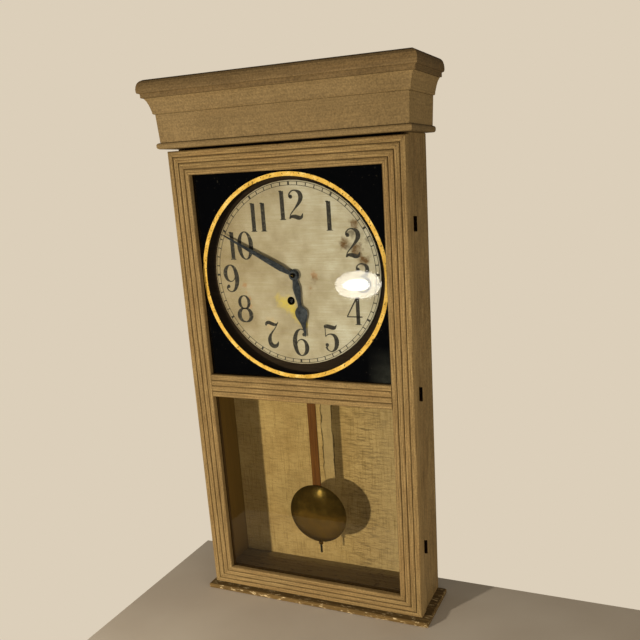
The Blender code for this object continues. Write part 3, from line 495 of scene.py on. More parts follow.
def reeded(width):
    """(across, depth, how deep in a groove) over a member's face, from its outer edge."""
    pitch = width / REEDS
    found = []
    for i in range(REEDS):
        middle, half = (i + 0.5) * pitch, (pitch - GROOVE_W) / 2
        for k in range(ROUND_STEPS + 1):
            turn = math.pi * k / ROUND_STEPS
            depth = REED_H * (1 - math.sin(turn) ** REED_FULLNESS)
            if k == ROUND_STEPS // 2:
                found += [(middle - LINE_W, 0.05, 0.0), (middle, LINE_D, 0.6), (middle + LINE_W, 0.05, 0.0)]
            elif abs(math.cos(turn)) * half > LINE_W:
                found.append((middle - half * math.cos(turn), depth, (depth / REED_H) ** 3 * 0.8))
        if i < REEDS - 1:
            found.append((middle + half + GROOVE_W * 0.25, REED_H + GROOVE_D, 1.0))
            found.append((middle + half + GROOVE_W * 0.75, REED_H + GROOVE_D, 1.0))
    found[0], found[-1] = (0.0, REED_H, 0.25), (width, REED_H, 0.8)
    return found


def member(name, start, finish, depths, material):
    """A door member lofted between two matching end outlines."""
    n = len(start)
    faces = [(i, (i + 1) % n, n + (i + 1) % n, n + i) for i in range(n)]
    faces += [tuple(range(n)), tuple(range(n, 2 * n))]
    made = piece(name + "_reeded", start + finish, faces, material, "door", (name,), 50.0)
    held = made.data.attributes.new("groove", "FLOAT", "POINT")
    held.data.foreach_set("value", depths + depths)
    return made


stile_paint = oil_paint("aged_oil_paint_on_reeded_stiles", 2, True)
rail_paint = oil_paint("aged_oil_paint_on_reeded_rails", 0, True)


def outer_section(width):
    """A whole section with the rabbet behind."""
    inner = width - RABBET_W
    back = [(width, LIP_T, 0.6), (inner, LIP_T, 0.6), (inner, DOOR_T, 0.3), (0.0, DOOR_T, 0.2)]
    return reeded(width) + back


for side, name in ((-1, "door_stile_left"), (1, "door_stile_right")):
    section = outer_section(STILE_W)
    start, finish = [], []
    for across, depth, _ in section:
        share = across / STILE_W
        x, y = side * (DOOR_HALF - across), DOOR_FRONT + depth
        start.append((x, y, DOOR_LOW + share * LOW_W + MITRE_GAP))
        finish.append((x, y, DOOR_HIGH - share * TOP_W - MITRE_GAP))
    member(name, start, finish, [d for _, _, d in section], stile_paint)

for name, edge, width, inward in (
    ("door_rail_top", DOOR_HIGH, TOP_W, -1), ("door_rail_bottom", DOOR_LOW, LOW_W, 1)
):
    section = outer_section(width)
    start = []
    for across, depth, _ in section:
        x = -DOOR_HALF + across / width * STILE_W + MITRE_GAP
        start.append((x, DOOR_FRONT + depth, edge + inward * across))
    member(name, start, [(-x, y, z) for x, y, z in start], [d for _, _, d in section], rail_paint)

MIDDLE = (-22.5, 16.5)
HALF_IN = DOOR_HALF - STILE_W - 0.1
face = [(MIDDLE[0] + a, DOOR_FRONT + d, g) for a, d, g in reeded(MIDDLE[1] - MIDDLE[0])]
lip, back = DOOR_FRONT + LIP_T, DOOR_FRONT + DOOR_T
face += [
    (MIDDLE[1], lip, 0.6), (MIDDLE[1] - RABBET_W, lip, 0.6), (MIDDLE[1] - RABBET_W, back, 0.2),
    (MIDDLE[0] + RABBET_W, back, 0.2), (MIDDLE[0] + RABBET_W, lip, 0.6), (MIDDLE[0], lip, 0.6),
]
member("door_rail_middle", [(-HALF_IN, y, z) for z, y, _ in face], [(HALF_IN, y, z) for z, y, _ in face],
       [g for _, _, g in face], rail_paint)
print("door members", 5, "section points", len(outer_section(STILE_W)))

# %% [markdown]
# ## Glass, black ground and gold leaf
# Both panes are old window glass. The upper one is painted black on its back, all but a round
# opening for the dial, and the opening has a ring of gold leaf laid on size. Behind glass the black
# is deep and glossy. The pane only bends light a little, so it is drawn as a clear sheet that
# reflects by Fresnel, which lets the lamps shine through it. Only the faces turned towards the eye
# reflect: seen from inside, Fresnel would turn a slanting ray back as if it could never get out.

# %% Window glass
def window_glass(name, tint):
    """Old drawn glass: clear, with slow waves that bend what it mirrors."""
    made, tree, out, place = started(name)
    waves = add(tree, "TexNoise", {"Vector": place, "Scale": 14.0, "Detail": 2.0})
    bump = add(tree, "Bump", {"Height": waves, "Strength": 0.12, "Distance": 0.0004})
    mirror = add(tree, "Fresnel", {"IOR": 1.5, "Normal": bump})
    clear = add(tree, "BsdfTransparent", {"Color": linear(tint)})
    shine = add(tree, "BsdfGlossy", {"Roughness": 0.03, "Normal": bump})
    behind = add(tree, "NewGeometry").outputs["Backfacing"]
    ahead = add(tree, "Math", {0: 1.0, 1: behind}, operation="SUBTRACT")
    share = add(tree, "Math", {0: mirror, 1: ahead}, operation="MULTIPLY")
    both = add(tree, "MixShader", {0: share, 1: clear, 2: shine})
    tree.links.new(both.outputs[0], out.inputs[0])
    return made


dress("glass_upper", window_glass("old_window_glass_upper", "#FBFDFB"))
dress("glass_lower", window_glass("old_window_glass_lower", "#F8FBF8"))

# %% Black ground and gold ring
RING = (156.5, 163.0)  # inner and outer radius of the gold
RING_AT = (0.0, 179.0)
PANE_BACK = -95.6
PANE_HALF = 168.0
PANE_LOW, PANE_HIGH = 11.3, 349.7
RING_STEPS = 180


def ring_points(radius, at, y):
    """A circle of points that faces the front."""
    turns = [2 * math.pi * i / RING_STEPS for i in range(RING_STEPS)]
    return [(at[0] + radius * math.sin(t), y, at[1] + radius * math.cos(t)) for t in turns]


def frame_loops(loops):
    """Faces that join a cycle of loops of equal length into one closed tube."""
    n, count = len(loops[0]), len(loops)
    faces = []
    for k in range(count):
        a, b = k * n, (k + 1) % count * n
        faces += [(a + i, a + (i + 1) % n, b + (i + 1) % n, b + i) for i in range(n)]
    return [p for loop in loops for p in loop], faces


def washer(name, inner, outer, at, front, back, material, body, slot):
    """A flat ring."""
    loops = [ring_points(inner, at, front), ring_points(outer, at, front),
             ring_points(outer, at, back), ring_points(inner, at, back)]
    points, faces = frame_loops(loops)
    return piece(name, points, faces, material, body)


def black_paint():
    """Old black paint on the back of glass, with pinholes."""
    made, tree, out, place = started("black_paint_behind_glass")
    dust = add(tree, "TexNoise", {"Vector": place, "Scale": 300.0, "Detail": 2.0})
    pins = add(tree, "MapRange", {"Value": dust, "From Min": 0.70, "From Max": 0.76, "To Max": 0.5})
    split = add(tree, "SeparateXYZ", {0: place})
    worn = add(tree, "TexNoise", {"Vector": place, "Scale": 120.0, "Detail": 4.0})
    right = add(tree, "MapRange", {"Value": split.outputs[0], "From Min": 0.120, "From Max": 0.168})
    low = add(tree, "MapRange", {"Value": split.outputs[2], "From Min": 0.075, "From Max": 0.012})
    corner = add(tree, "Math", {0: right, 1: low}, operation="MULTIPLY")
    rubbed = add(tree, "Math", {0: corner, 1: worn}, operation="MULTIPLY")
    colour = blended(tree, rubbed, "#020203", "#4A4B46")
    colour = blended(tree, pins, colour, "#4A453B")
    return coated(made, tree, out, {"Base Color": colour, "Roughness": 0.5, "Specular IOR Level": 0.1})


def gold_leaf():
    """Gold leaf laid in strips behind glass: warm, bright, with specks where it has flaked."""
    made, tree, out, place = started("gold_leaf_behind_glass")
    cloud = add(tree, "TexNoise", {"Vector": place, "Scale": 70.0, "Detail": 5.0, "Roughness": 0.7})
    tone = add(tree, "ValToRGB", {0: cloud}, stops=[(0.3, "#C99A3C"), (0.55, "#E9BC5C"), (0.75, "#FBDC92")])
    flaked = add(tree, "TexNoise", {"Vector": place, "Scale": 260.0, "Detail": 3.0, "Roughness": 0.7})
    gone = add(tree, "MapRange", {"Value": flaked, "From Min": 0.60, "From Max": 0.64})
    colour = blended(tree, gone, tone, "#1A1206")
    return coated(made, tree, out, {"Base Color": colour, "Roughness": 0.45, "Metallic": 0.1})


def pane_edge(y):
    """The pane's rectangle walked at the same angles as the ring, so that the two can be joined."""
    found = []
    for x, _, z in ring_points(1.0, (0.0, 0.0), y):
        up = PANE_HIGH - RING_AT[1] if z > 0 else RING_AT[1] - PANE_LOW
        reach = min(PANE_HALF / max(abs(x), 1e-6), up / max(abs(z), 1e-6))
        found.append((x * reach, y, RING_AT[1] + z * reach))
    return found


black = black_paint()
SHEET = (PANE_BACK + 0.05, PANE_BACK + 0.2)
HOLE_R = RING[1] - 0.4  # the black starts under the gold's outer edge
loops = [ring_points(HOLE_R, RING_AT, SHEET[0]), pane_edge(SHEET[0]),
         pane_edge(SHEET[1]), ring_points(HOLE_R, RING_AT, SHEET[1])]
points, faces = frame_loops(loops)
piece("black_ground", points, faces, black, "door")
washer("gold_ring", *RING, RING_AT, PANE_BACK + 0.02, PANE_BACK + 0.12, gold_leaf(), "door", "glass_upper")
print("gold ring", RING, "mm")

# %% [markdown]
# ## Dial
# The dial is a round zinc sheet with a turned-back rim, painted cream and printed in black. The
# cream has yellowed unevenly, and damp has lifted it near two and three o'clock. A yellow glow is
# painted beside the hour hand, for the light that the hand reflects onto the dial. The printing is
# made as thin raised shapes: a ladder minute track from two fine rings and sixty ticks, and twelve
# tall numerals with thick and thin strokes.

# %% Dial finish
DIAL_AT = (0.0, 183.5)
DIAL_FRONT = -83.5
WINDING_AT = (-10.3, 141.6)
RUST, BARE_ZINC, PAINTED_HAND_REFLECTION = "#5E4426", "#6A6254", "#BBA64E"
DIAL_STAINS = [  # place from the dial's centre, radius and soft edge, strength, colour
    # The first five spots are a painted reflection: the yellow light that the hour hand throws onto the dial.
    (-35.0, -36.0, 1.0, 10.0, 0.9, PAINTED_HAND_REFLECTION), (-22.0, -46.0, 4.0, 10.0, 1.0, PAINTED_HAND_REFLECTION),
    (-8.0, -57.0, 5.0, 9.0, 1.0, PAINTED_HAND_REFLECTION), (4.0, -68.0, 4.0, 9.0, 1.0, PAINTED_HAND_REFLECTION),
    (14.0, -79.0, 1.0, 7.0, 0.9, PAINTED_HAND_REFLECTION), (-48.0, -78.0, 1.0, 12.0, 0.5, "#C9A878"),
    (107.0, 75.0, 3.0, 5.0, 1.0, RUST), (101.0, 63.0, 3.0, 6.0, 0.9, BARE_ZINC),
    (88.0, 49.0, 5.0, 6.0, 1.0, RUST), (99.0, 42.0, 3.0, 6.0, 0.9, BARE_ZINC),
    (109.0, 37.0, 5.0, 6.0, 1.0, RUST), (119.0, 23.0, 4.0, 7.0, 1.0, RUST),
    (127.0, 54.0, 2.0, 5.0, 0.8, BARE_ZINC), (112.0, 62.0, 1.0, 12.0, 0.4, BARE_ZINC),
    (33.0, -1.0, 1.0, 5.0, 0.75, "#9A6F4A"), (32.0, -7.0, 1.0, 5.0, 0.6, RUST),
    (26.0, -22.0, 0.0, 4.0, 0.7, "#8E704E"), (25.0, -30.0, 0.0, 4.0, 0.5, "#8E704E"),
    (-96.0, -18.0, 0.0, 5.0, 0.6, "#9C6C42"), (-91.0, -29.0, 0.0, 5.0, 0.6, "#9C6C42"),
    (-86.0, -40.0, 0.0, 5.0, 0.6, "#9C6C42"), (-84.5, -52.0, 0.0, 5.0, 0.5, "#9C6C42"),
]


SPOT_WOBBLE = 24.0  # how far noise can push a stain's edge, half of it on average


def spot(tree, place, x, z, radius, soft):
    """A round share that is one near a point of the dial and fades to zero, edge made uneven."""
    wobble = add(tree, "TexNoise", {"Vector": place, "Scale": 90.0, "Detail": 3.0})
    centre = ((DIAL_AT[0] + x) * MM, DIAL_FRONT * MM, (DIAL_AT[1] + z) * MM)
    far = add(tree, "VectorMath", {0: place, 1: centre}, operation="DISTANCE")
    push = add(tree, "Math", {0: wobble, 1: SPOT_WOBBLE * MM}, operation="MULTIPLY")
    off = add(tree, "Math", {0: far.outputs["Value"], 1: push}, operation="ADD")
    edge = (radius + SPOT_WOBBLE / 2) * MM
    share = add(tree, "MapRange", {
        "Value": off, "From Min": edge, "From Max": edge + soft * MM, "To Min": 1.0, "To Max": 0.0})
    return share


def dial_paint():
    """Oil paint baked on zinc: nearly matt, cloudy with yellowing, stained where damp got in."""
    made, tree, out, place = started("yellowed_dial_paint")
    split = add(tree, "SeparateXYZ", {0: place})
    slant = add(tree, "MapRange", {"Value": split.outputs[0], "From Min": -0.15, "From Max": 0.13})
    colour = blended(tree, slant, "#9F9079", "#C2BEB6")
    slow = add(tree, "TexNoise", {"Vector": place, "Scale": 22.0, "Detail": 6.0, "Roughness": 0.62})
    shade = add(tree, "ValToRGB", {0: slow}, stops=[(0.34, "#CCC1AC"), (0.52, "#ECE6D8"), (0.68, "#FFFFFA")])
    colour = blended(tree, 0.85, colour, shade, "MULTIPLY")
    drag = stretched(tree, place, 0, 2.0, 40.0, 4.0, 0.6)
    lines = add(tree, "MapRange", {"Value": drag, "From Min": 0.38, "From Max": 0.62, "To Max": 0.3})
    colour = blended(tree, lines, colour, "#8D8058")
    grit = add(tree, "TexNoise", {"Vector": place, "Scale": 130.0, "Detail": 6.0, "Roughness": 0.75})
    for x, z, radius, soft, strength, stain in DIAL_STAINS:
        rough = add(tree, "MapRange", {
            "Value": grit, "From Min": 0.40, "From Max": 0.56, "To Min": strength * 0.5, "To Max": strength})
        share = add(tree, "Math", {0: spot(tree, place, x, z, radius, soft), 1: rough}, operation="MULTIPLY")
        colour = blended(tree, share, colour, stain)
    return coated(made, tree, out, {
        "Base Color": colour, "Roughness": 0.5, "Specular IOR Level": 0.35}, (slow, 0.35, 0.0012))


def turned(section, at, steps):
    """Points and faces of a section (radius, y) turned about an axis along Y."""
    points, faces = [], []
    n = len(section)
    for i in range(steps):
        t = 2 * math.pi * i / steps
        points += [(at[0] + r * math.sin(t), y, at[1] + r * math.cos(t)) for r, y in section]
    for i in range(steps):
        a, b = i * n, (i + 1) % steps * n
        for k in range(n):
            m = (k + 1) % n
            if section[k][0] < 1e-6 and section[m][0] < 1e-6:
                continue
            faces.append((a + k, a + m, b + m, b + k))
    return points, faces


dial_finish = dial_paint()
dress("dial", dial_finish)
ease("dial", WORN_DIAL)

# %% Printed track
INK_T = 0.07  # how far the printing stands off the paint
INK_FRONT, INK_BACK = DIAL_FRONT - INK_T, DIAL_FRONT + 0.05
TRACK = (138.3, 143.8)
PRINT_W = 0.85
HOUR_TICK, MINUTE_TICK = 1.6, 0.8  # half widths


def printing_ink():
    """Black printing ink, worn to grey in specks where the dial has been wiped."""
    made, tree, out, place = started("worn_printing_ink")
    wear = add(tree, "TexNoise", {"Vector": place, "Scale": 240.0, "Detail": 4.0, "Roughness": 0.7})
    tone = add(tree, "ValToRGB", {0: wear}, stops=[(0.4, "#2A2826"), (0.6, "#403C36"), (0.74, "#7B725E")])
    return coated(made, tree, out, {"Base Color": tone, "Roughness": 0.55, "Specular IOR Level": 0.3})


def on_dial(across, reach, turn):
    """(x, z) of a point across a hand or tick that stands at a clockwise angle from twelve."""
    x = across * math.cos(turn) + reach * math.sin(turn)
    z = -across * math.sin(turn) + reach * math.cos(turn)
    return DIAL_AT[0] + x, DIAL_AT[1] + z


def plate_of(outline, base):
    """Points and faces of a flat outline on the dial, as a thin plate. base is the first index."""
    n = len(outline)
    points = [(x, INK_FRONT, z) for x, z in outline] + [(x, INK_BACK, z) for x, z in outline]
    faces = [tuple(range(base, base + n)), tuple(range(base + 2 * n - 1, base + n - 1, -1))]
    faces += [(base + i, base + (i + 1) % n, base + n + (i + 1) % n, base + n + i) for i in range(n)]
    return points, faces


ink = printing_ink()
points, faces = [], []
for radius in TRACK:
    edges = ((-PRINT_W / 2, INK_FRONT), (PRINT_W / 2, INK_FRONT), (PRINT_W / 2, INK_BACK),
             (-PRINT_W / 2, INK_BACK))
    loops = [ring_points(radius + out_by, DIAL_AT, y) for out_by, y in edges]
    more, joined = frame_loops(loops)
    faces += [tuple(i + len(points) for i in f) for f in joined]
    points += more
for minute in range(60):
    half = HOUR_TICK if minute % 5 == 0 else MINUTE_TICK
    turn = math.radians(minute * 6)
    corners = [(-half, TRACK[0]), (half, TRACK[0]), (half, TRACK[1]), (-half, TRACK[1])]
    outline = [on_dial(a, r, turn) for a, r in corners]
    more, joined = plate_of(outline, len(points))
    points += more
    faces += joined
piece("minute_track", points, faces, ink, "case")
print("minute track", TRACK, "mm, ticks", 60)

# %% [markdown]
# ## Numerals
# Each numeral is drawn with a pen's path: a smooth line through a few points, each with its own
# half width, so a stroke swells and thins as in the lettering of the time. Round ends are discs.
# The shapes are laid out in a box 27 mm wide and 45 mm tall, centred on zero.

# %% Numeral strokes
PEN_STEPS = 7
WEIGHT = 1.22  # how bold the figures are
HAIRLINE = 0.45  # half the thinnest stroke
LOOP_STEPS = 24


def ellipse(x, z, a, b, thin, thick):
    """A closed loop, thick at its sides and thin at its top and bottom."""
    found = []
    for k in range(LOOP_STEPS + 1):
        t = 2 * math.pi * k / LOOP_STEPS
        half = thin + (thick - thin) * abs(math.cos(t)) ** 1.6
        found.append((x + a * math.cos(t), z + b * math.sin(t), half))
    return found


SIX = [(8.6, 13.6, 1.3), (8.8, 17.6, 0.9), (5.0, 21.2, 0.7), (0.0, 21.9, 0.8), (-6.0, 17.6, 2.0),
       (-10.3, 7.0, 3.1),
       (-10.6, -5.0, 3.2), (-7.2, -16.8, 2.3), (0.0, -21.9, 0.7), (7.6, -17.0, 2.3), (10.4, -8.4, 3.1),
       (8.0, 1.0, 2.1), (1.6, 5.2, 0.8), (-4.6, 2.6, 0.6), (-7.8, -2.6, 0.5)]
STEM = [[(0.0, 21.6, 2.9), (0.0, -21.6, 2.9)], [(-5.2, -21.8, 0.5), (5.2, -21.8, 0.5)],
        [(-4.6, 21.4, 0.8), (0.0, 21.4, 0.8)]]
GLYPHS = {
    "0": [ellipse(0.0, 0.0, 10.8, 21.8, 0.7, 3.2)],
    "1": STEM,
    "2": [[(-9.6, 12.4, 1.5), (-9.8, 16.6, 1.0), (-5.6, 21.0, 0.9), (0.6, 21.8, 1.0), (7.6, 18.0, 2.6),
           (9.6, 11.0, 3.1),
           (6.2, 3.4, 2.2), (-2.0, -6.0, 1.0), (-8.8, -13.4, 0.7), (-11.6, -20.6, 0.7)],
          [(-11.6, -20.6, 0.8), (-7.8, -17.6, 1.8), (-2.0, -17.8, 2.6), (4.4, -19.6, 2.7), (9.2, -18.6, 1.8),
           (11.4, -13.2, 0.6)]],
    "3": [[(-8.6, 13.2, 1.4), (-8.6, 17.4, 0.9), (-4.0, 21.4, 0.8), (2.6, 21.4, 1.2), (8.0, 16.6, 2.6),
           (7.6, 9.0, 2.5),
           (2.4, 3.4, 1.0), (-3.4, 2.2, 0.6)],
          [(-3.4, 2.2, 0.6), (3.4, 1.2, 1.1), (9.0, -4.2, 2.7), (9.8, -12.0, 3.1), (5.4, -19.6, 1.9),
           (-1.0, -21.8, 0.8),
           (-7.6, -18.8, 0.9), (-9.6, -13.4, 1.4)]],
    "4": [[(5.4, 21.4, 2.6), (5.4, -21.2, 2.6)], [(4.6, 21.2, 1.0), (-13.0, -9.2, 0.8)],
          [(-13.4, -9.6, 0.8), (12.6, -9.6, 0.8)],
          [(0.2, -21.8, 0.5), (10.6, -21.8, 0.5)]],
    "5": [[(-9.8, 16.0, 0.6), (-8.8, 18.6, 2.4), (-4.0, 19.0, 2.7), (2.0, 17.4, 2.9), (6.6, 17.2, 2.5),
           (9.4, 19.2, 1.2), (10.6, 22.0, 0.4)],
          [(-9.4, 18.0, 0.6), (-9.4, 2.4, 0.6)],
          [(-9.4, 2.4, 0.6), (-5.0, 5.6, 0.7), (1.4, 6.4, 1.1), (7.6, 2.4, 2.6), (9.8, -6.6, 3.2),
           (7.2, -16.4, 2.3),
           (0.6, -21.7, 0.8), (-5.8, -20.0, 0.9), (-9.2, -14.6, 1.6)]],
    "6": [SIX],
    "7": [[(-12.0, 14.4, 0.5), (-11.0, 18.4, 2.0), (-6.4, 20.2, 2.4), (-0.6, 18.2, 2.5), (5.0, 16.6, 2.0),
           (9.0, 18.4, 0.9), (11.2, 21.8, 0.4)],
          [(9.4, 18.2, 0.5), (4.0, 10.0, 0.7), (-2.6, 2.2, 1.3), (-6.6, -6.4, 2.7), (-5.4, -15.4, 3.2),
           (0.0, -19.6, 2.9),
           (6.0, -17.8, 2.2), (9.2, -11.6, 0.6)]],
    "8": [ellipse(0.0, 11.0, 8.8, 10.8, 0.7, 2.4), ellipse(0.0, -10.4, 11.2, 11.4, 0.8, 3.2)],
    "9": [[(-x, -z, w) for x, z, w in SIX]],
}
BALLS = {  # the round ends of strokes: place and radius
    "2": [(-7.6, 12.6, 3.1)], "3": [(-6.8, 13.2, 2.9), (-7.8, -13.0, 3.0)], "5": [(-7.4, -11.4, 3.1)],
    "6": [(6.2, 13.2, 3.0)], "9": [(-6.2, -13.2, 3.0)],
}


def smoothed(stroke):
    """A stroke's points with more set between them on a smooth curve."""
    if len(stroke) == 2:
        return [np.array(p) for p in stroke]
    given = [np.array(p) for p in stroke]
    given = [2 * given[0] - given[1]] + given + [2 * given[-1] - given[-2]]
    found = []
    for a, b, c, d in zip(given, given[1:], given[2:], given[3:]):
        for k in range(PEN_STEPS):
            t = k / PEN_STEPS
            bend, twist = 2 * a - 5 * b + 4 * c - d, 3 * b - a - 3 * c + d
            found.append(0.5 * (2 * b + (c - a) * t + bend * t * t + twist * t ** 3))
    return found + [given[-2]]


def pen(stroke, at, base):
    """A stroke as a thin plate made of a strip of quads."""
    line = smoothed(stroke)
    left, right = [], []
    for i, p in enumerate(line):
        ahead = line[min(i + 1, len(line) - 1)] - line[max(i - 1, 0)]
        length = math.hypot(ahead[0], ahead[1])
        nx, nz = -ahead[1] / length, ahead[0] / length
        half = max(p[2] * WEIGHT, HAIRLINE)
        left.append((at[0] + p[0] + nx * half, at[1] + p[1] + nz * half))
        right.append((at[0] + p[0] - nx * half, at[1] + p[1] - nz * half))
    n = len(line)
    rows = [[(x, y, z) for x, z in side] for side in (left, right) for y in (INK_FRONT, INK_BACK)]
    points = [p for row in rows for p in row]
    lf, lb, rf, rb = (base + k * n for k in range(4))
    faces = []
    for i in range(n - 1):
        faces += [(lf + i, lf + i + 1, rf + i + 1, rf + i), (lb + i, rb + i, rb + i + 1, lb + i + 1),
                  (lf + i, lb + i, lb + i + 1, lf + i + 1), (rf + i, rf + i + 1, rb + i + 1, rb + i)]
    faces += [(lf, rf, rb, lb), (lf + n - 1, lb + n - 1, rb + n - 1, rf + n - 1)]
    return points, faces


NUMERALS = {  # each digit with its shift to the right, then the numeral's place from the dial's centre
    12: (("1", -14.3), ("2", 9.0), 1.0, 108.0), 1: (("1", 0.0), 65.5, 90.0), 2: (("2", 0.0), 102.0, 48.0),
    3: (("3", 0.0), 115.5, -5.0), 4: (("4", 0.0), 99.5, -56.0), 5: (("5", 0.0), 56.0, -101.0),
    6: (("6", 0.0), 2.0, -110.0), 7: (("7", 0.0), -48.5, -98.5), 8: (("8", 0.0), -97.5, -56.5),
    9: (("9", 0.0), -118.0, -6.0),
    10: (("1", -15.5), ("0", 8.5), -94.5, 47.0), 11: (("1", -9.0), ("1", 9.0), -57.5, 91.0),
}
for hour, (*digits, x, z) in NUMERALS.items():
    points, faces = [], []
    for digit, shift in digits:
        at = (DIAL_AT[0] + x + shift, DIAL_AT[1] + z)
        for stroke in GLYPHS[digit]:
            more, joined = pen(stroke, at, len(points))
            points += more
            faces += joined
        for x_in, z_in, r in BALLS.get(digit, []):
            turns = np.linspace(0, 2 * math.pi, LOOP_STEPS + 1)[:-1]
            outline = [(at[0] + x_in + r * math.cos(t), at[1] + z_in + r * math.sin(t)) for t in turns]
            more, joined = plate_of(outline, len(points))
            points += more
            faces += joined
    piece(f"numeral_{hour}", points, faces, ink, "case")
print("numerals", len(NUMERALS))

# %% [markdown]
# ## Hands
# The hands are pressed steel with a ridge down the middle, blued by heat and now nearly black. A
# ridge gives one lit face and one dark face, so each hand is a strip of stations with a raised
# centre line, and its two faces meet at a sharp edge.

# %% Steel and brass finishes
def metal(name, dark, light, rough, scale_mm, along=None, tarnish=None, shine=1.0):
    """A dull metal with cloudy wear. along gives brushed lines, and shine is how bare the metal is."""
    made, tree, out, place = started(name)
    cloud = add(tree, "TexNoise", {
        "Vector": place, "Scale": 1 / (scale_mm * MM), "Detail": 6.0, "Roughness": 0.65})
    tone = add(tree, "ValToRGB", {0: cloud}, stops=[(0.32, dark), (0.7, light)])
    colour = tone
    lines = cloud
    if along is not None:
        lines = stretched(tree, place, along, 0.5, 18.0, 3.0, 0.5)
    if tarnish:
        share = add(tree, "MapRange", {"Value": cloud, "From Min": 0.56, "From Max": 0.66, "To Max": 0.8})
        colour = blended(tree, share, colour, tarnish)
    gloss = add(tree, "MapRange", {"Value": lines, "To Min": rough * 0.7, "To Max": rough * 1.35})
    return coated(made, tree, out, {
        "Base Color": colour, "Metallic": shine, "Roughness": gloss}, (lines, 0.25, 0.0002))


blued = metal("heat_blued_steel", "#2A2C32", "#565A60", 0.4, 6.0, shine=0.45)
steel = metal("dulled_drawn_steel", "#5A544C", "#8C857A", 0.42, 8.0, tarnish="#5B3A1E")
brass = metal("tarnished_rolled_brass", "#7A5C26", "#B98F45", 0.38, 12.0, 0, "#4F3B1A")

HANDS = {  # degrees past twelve, front and back, boss radius, body, (reach, half width) along the hand
    "minute_hand": (298.0, (-90.8, -89.8), 7.2, "centre", [
        (3.0, 2.6), (10.0, 3.2), (24.0, 5.0), (42.0, 4.6), (66.0, 3.6), (90.0, 2.6), (112.0, 1.9),
        (132.0, 1.2), (143.4, 0.15)]),
    "hour_hand": (172.5, (-87.6, -86.6), 9.2, "hour", [
        (3.0, 4.0), (12.0, 5.0), (20.0, 6.9), (28.0, 6.1), (35.0, 4.8), (43.0, 3.7), (49.0, 3.4),
        (51.5, 4.6), (54.0, 8.0), (58.0, 10.8), (62.0, 11.2), (66.0, 10.6), (72.0, 7.9), (78.0, 5.0),
        (84.0, 3.1), (92.0, 2.1), (98.5, 1.4), (100.4, 0.3)]),
}
EDGE_DROP, RIDGE_RISE = 0.6, 0.7  # how far the edges lie behind the boss's face, and the ridge before it
HAND_STATIONS = 70
BORE_R = 2.1
TURNED_STEPS = 48
for name, (turn, (front, back), boss, body, stations) in HANDS.items():
    angle = math.radians(turn)
    points = []
    reaches = np.linspace(stations[0][0], stations[-1][0], HAND_STATIONS)
    halves = np.interp(reaches, [r for r, _ in stations], [w for _, w in stations])
    for r, w in zip(reaches, halves):
        crest = front - RIDGE_RISE * min(max((r - boss) / boss, 0.0), 1.0)
        edge = front + EDGE_DROP
        for a, y in ((-w, back), (-w, edge), (0.0, crest), (w, edge), (w, back)):
            x, z = on_dial(a, r, angle)
            points.append((x, y, z))
    faces = [tuple(range(5)), tuple(range(len(points) - 5, len(points)))]
    for i in range(len(reaches) - 1):
        a, b = 5 * i, 5 * i + 5
        faces += [(a + k, a + (k + 1) % 5, b + (k + 1) % 5, b + k) for k in range(5)]
    rim = [(BORE_R, back), (boss, back), (boss, front + 0.3), (boss - 1.2, front), (BORE_R, front)]
    collar, joined = turned(rim, DIAL_AT, TURNED_STEPS)
    faces += [tuple(i + len(points) for i in f) for f in joined]
    points += collar
    piece(name + "_ridged", points, faces, blued, body, (name,), 20.0)
dress("hand_nut", metal("polished_steel_nut", "#4B463E", "#8F887A", 0.2, 4.0))
print("hands", list(HANDS))

# %% [markdown]
# ## Winding hole
# A key goes through the dial to a square on the mainspring's arbor. A pressed brass eyelet, now
# dark, lines the hole so that the key doesn't scrape the paint.

# %% Eyelet
eyelet_metal = metal("dark_pressed_brass", "#2E2610", "#5C4C22", 0.35, 3.0)
lip = ((4.9, 1.2), (4.9, -0.3), (5.3, -0.55), (6.2, -0.45), (6.7, -0.05), (6.5, 0.02), (5.3, 0.02),
       (5.3, 1.2))
points, faces = turned([(r, DIAL_FRONT + deep) for r, deep in lip], WINDING_AT, TURNED_STEPS)
piece("winding_eyelet", points, faces, eyelet_metal, "case")

# %% [markdown]
# ## Movement, hinges and hook
# The movement is brass plates and wheels between steel pillars, hidden behind the dial. Hinges and
# hook are the plain hardware of the time.

# %% Dress the metal nodes
BRASS_NODES = [
    "hook_post", "hook_pin", "door_hook", "movement_plate_front", "movement_plate_back", "great_wheel",
    "second_wheel",
    "centre_wheel", "third_wheel", "escape_wheel", "minute_wheel", "hour_wheel", "suspension_stud",
    "rating_nut",
]
STEEL_NODES = ["hanger_plate", "winding_arbor", "verge", "pendulum_rod", "rating_screw"]
STEEL_NODES += ["pillar_" + p for p in "abcd"]
HINGE_NODES = [f"hinge_{a}_leaf_{b}" for a in ("case", "door") for b in ("top", "middle", "bottom")]
for name in BRASS_NODES:
    dress(name, brass)
for name in STEEL_NODES:
    dress(name, steel)
iron = metal("blackened_wrought_iron", "#16110C", "#3A2D20", 0.55, 5.0, tarnish="#4A2F1B")
for name in HINGE_NODES:
    dress(name, iron)
dress("mainspring", blued)
print("metal nodes", len(BRASS_NODES) + len(STEEL_NODES) + len(HINGE_NODES) + 1)

# %% [markdown]
# ## Pendulum
# The rod is a flat stick of varnished hardwood, red-brown and slightly glossy. The bob is a thin
# brass shell, spun over a form, so fine circles run round it. Its brown tarnish is thicker near the
# rim.

# %% Stick
def varnished_stick():
    """Hardwood under shellac: a soft sheen over fine upright grain."""
    made, tree, out, place = started("varnished_hardwood_stick")
    grain = stretched(tree, place, 2, 0.9, 60.0, 5.0, 0.6)
    tone = add(tree, "ValToRGB", {0: grain}, stops=[(0.3, "#45250C"), (0.6, "#613A15"), (0.75, "#744A20")])
    return coated(made, tree, out, {
        "Base Color": tone, "Roughness": 0.38, "Coat Weight": 0.3, "Coat Roughness": 0.25},
        (grain, 0.2, 0.0003))


dress("pendulum_stick", varnished_stick())

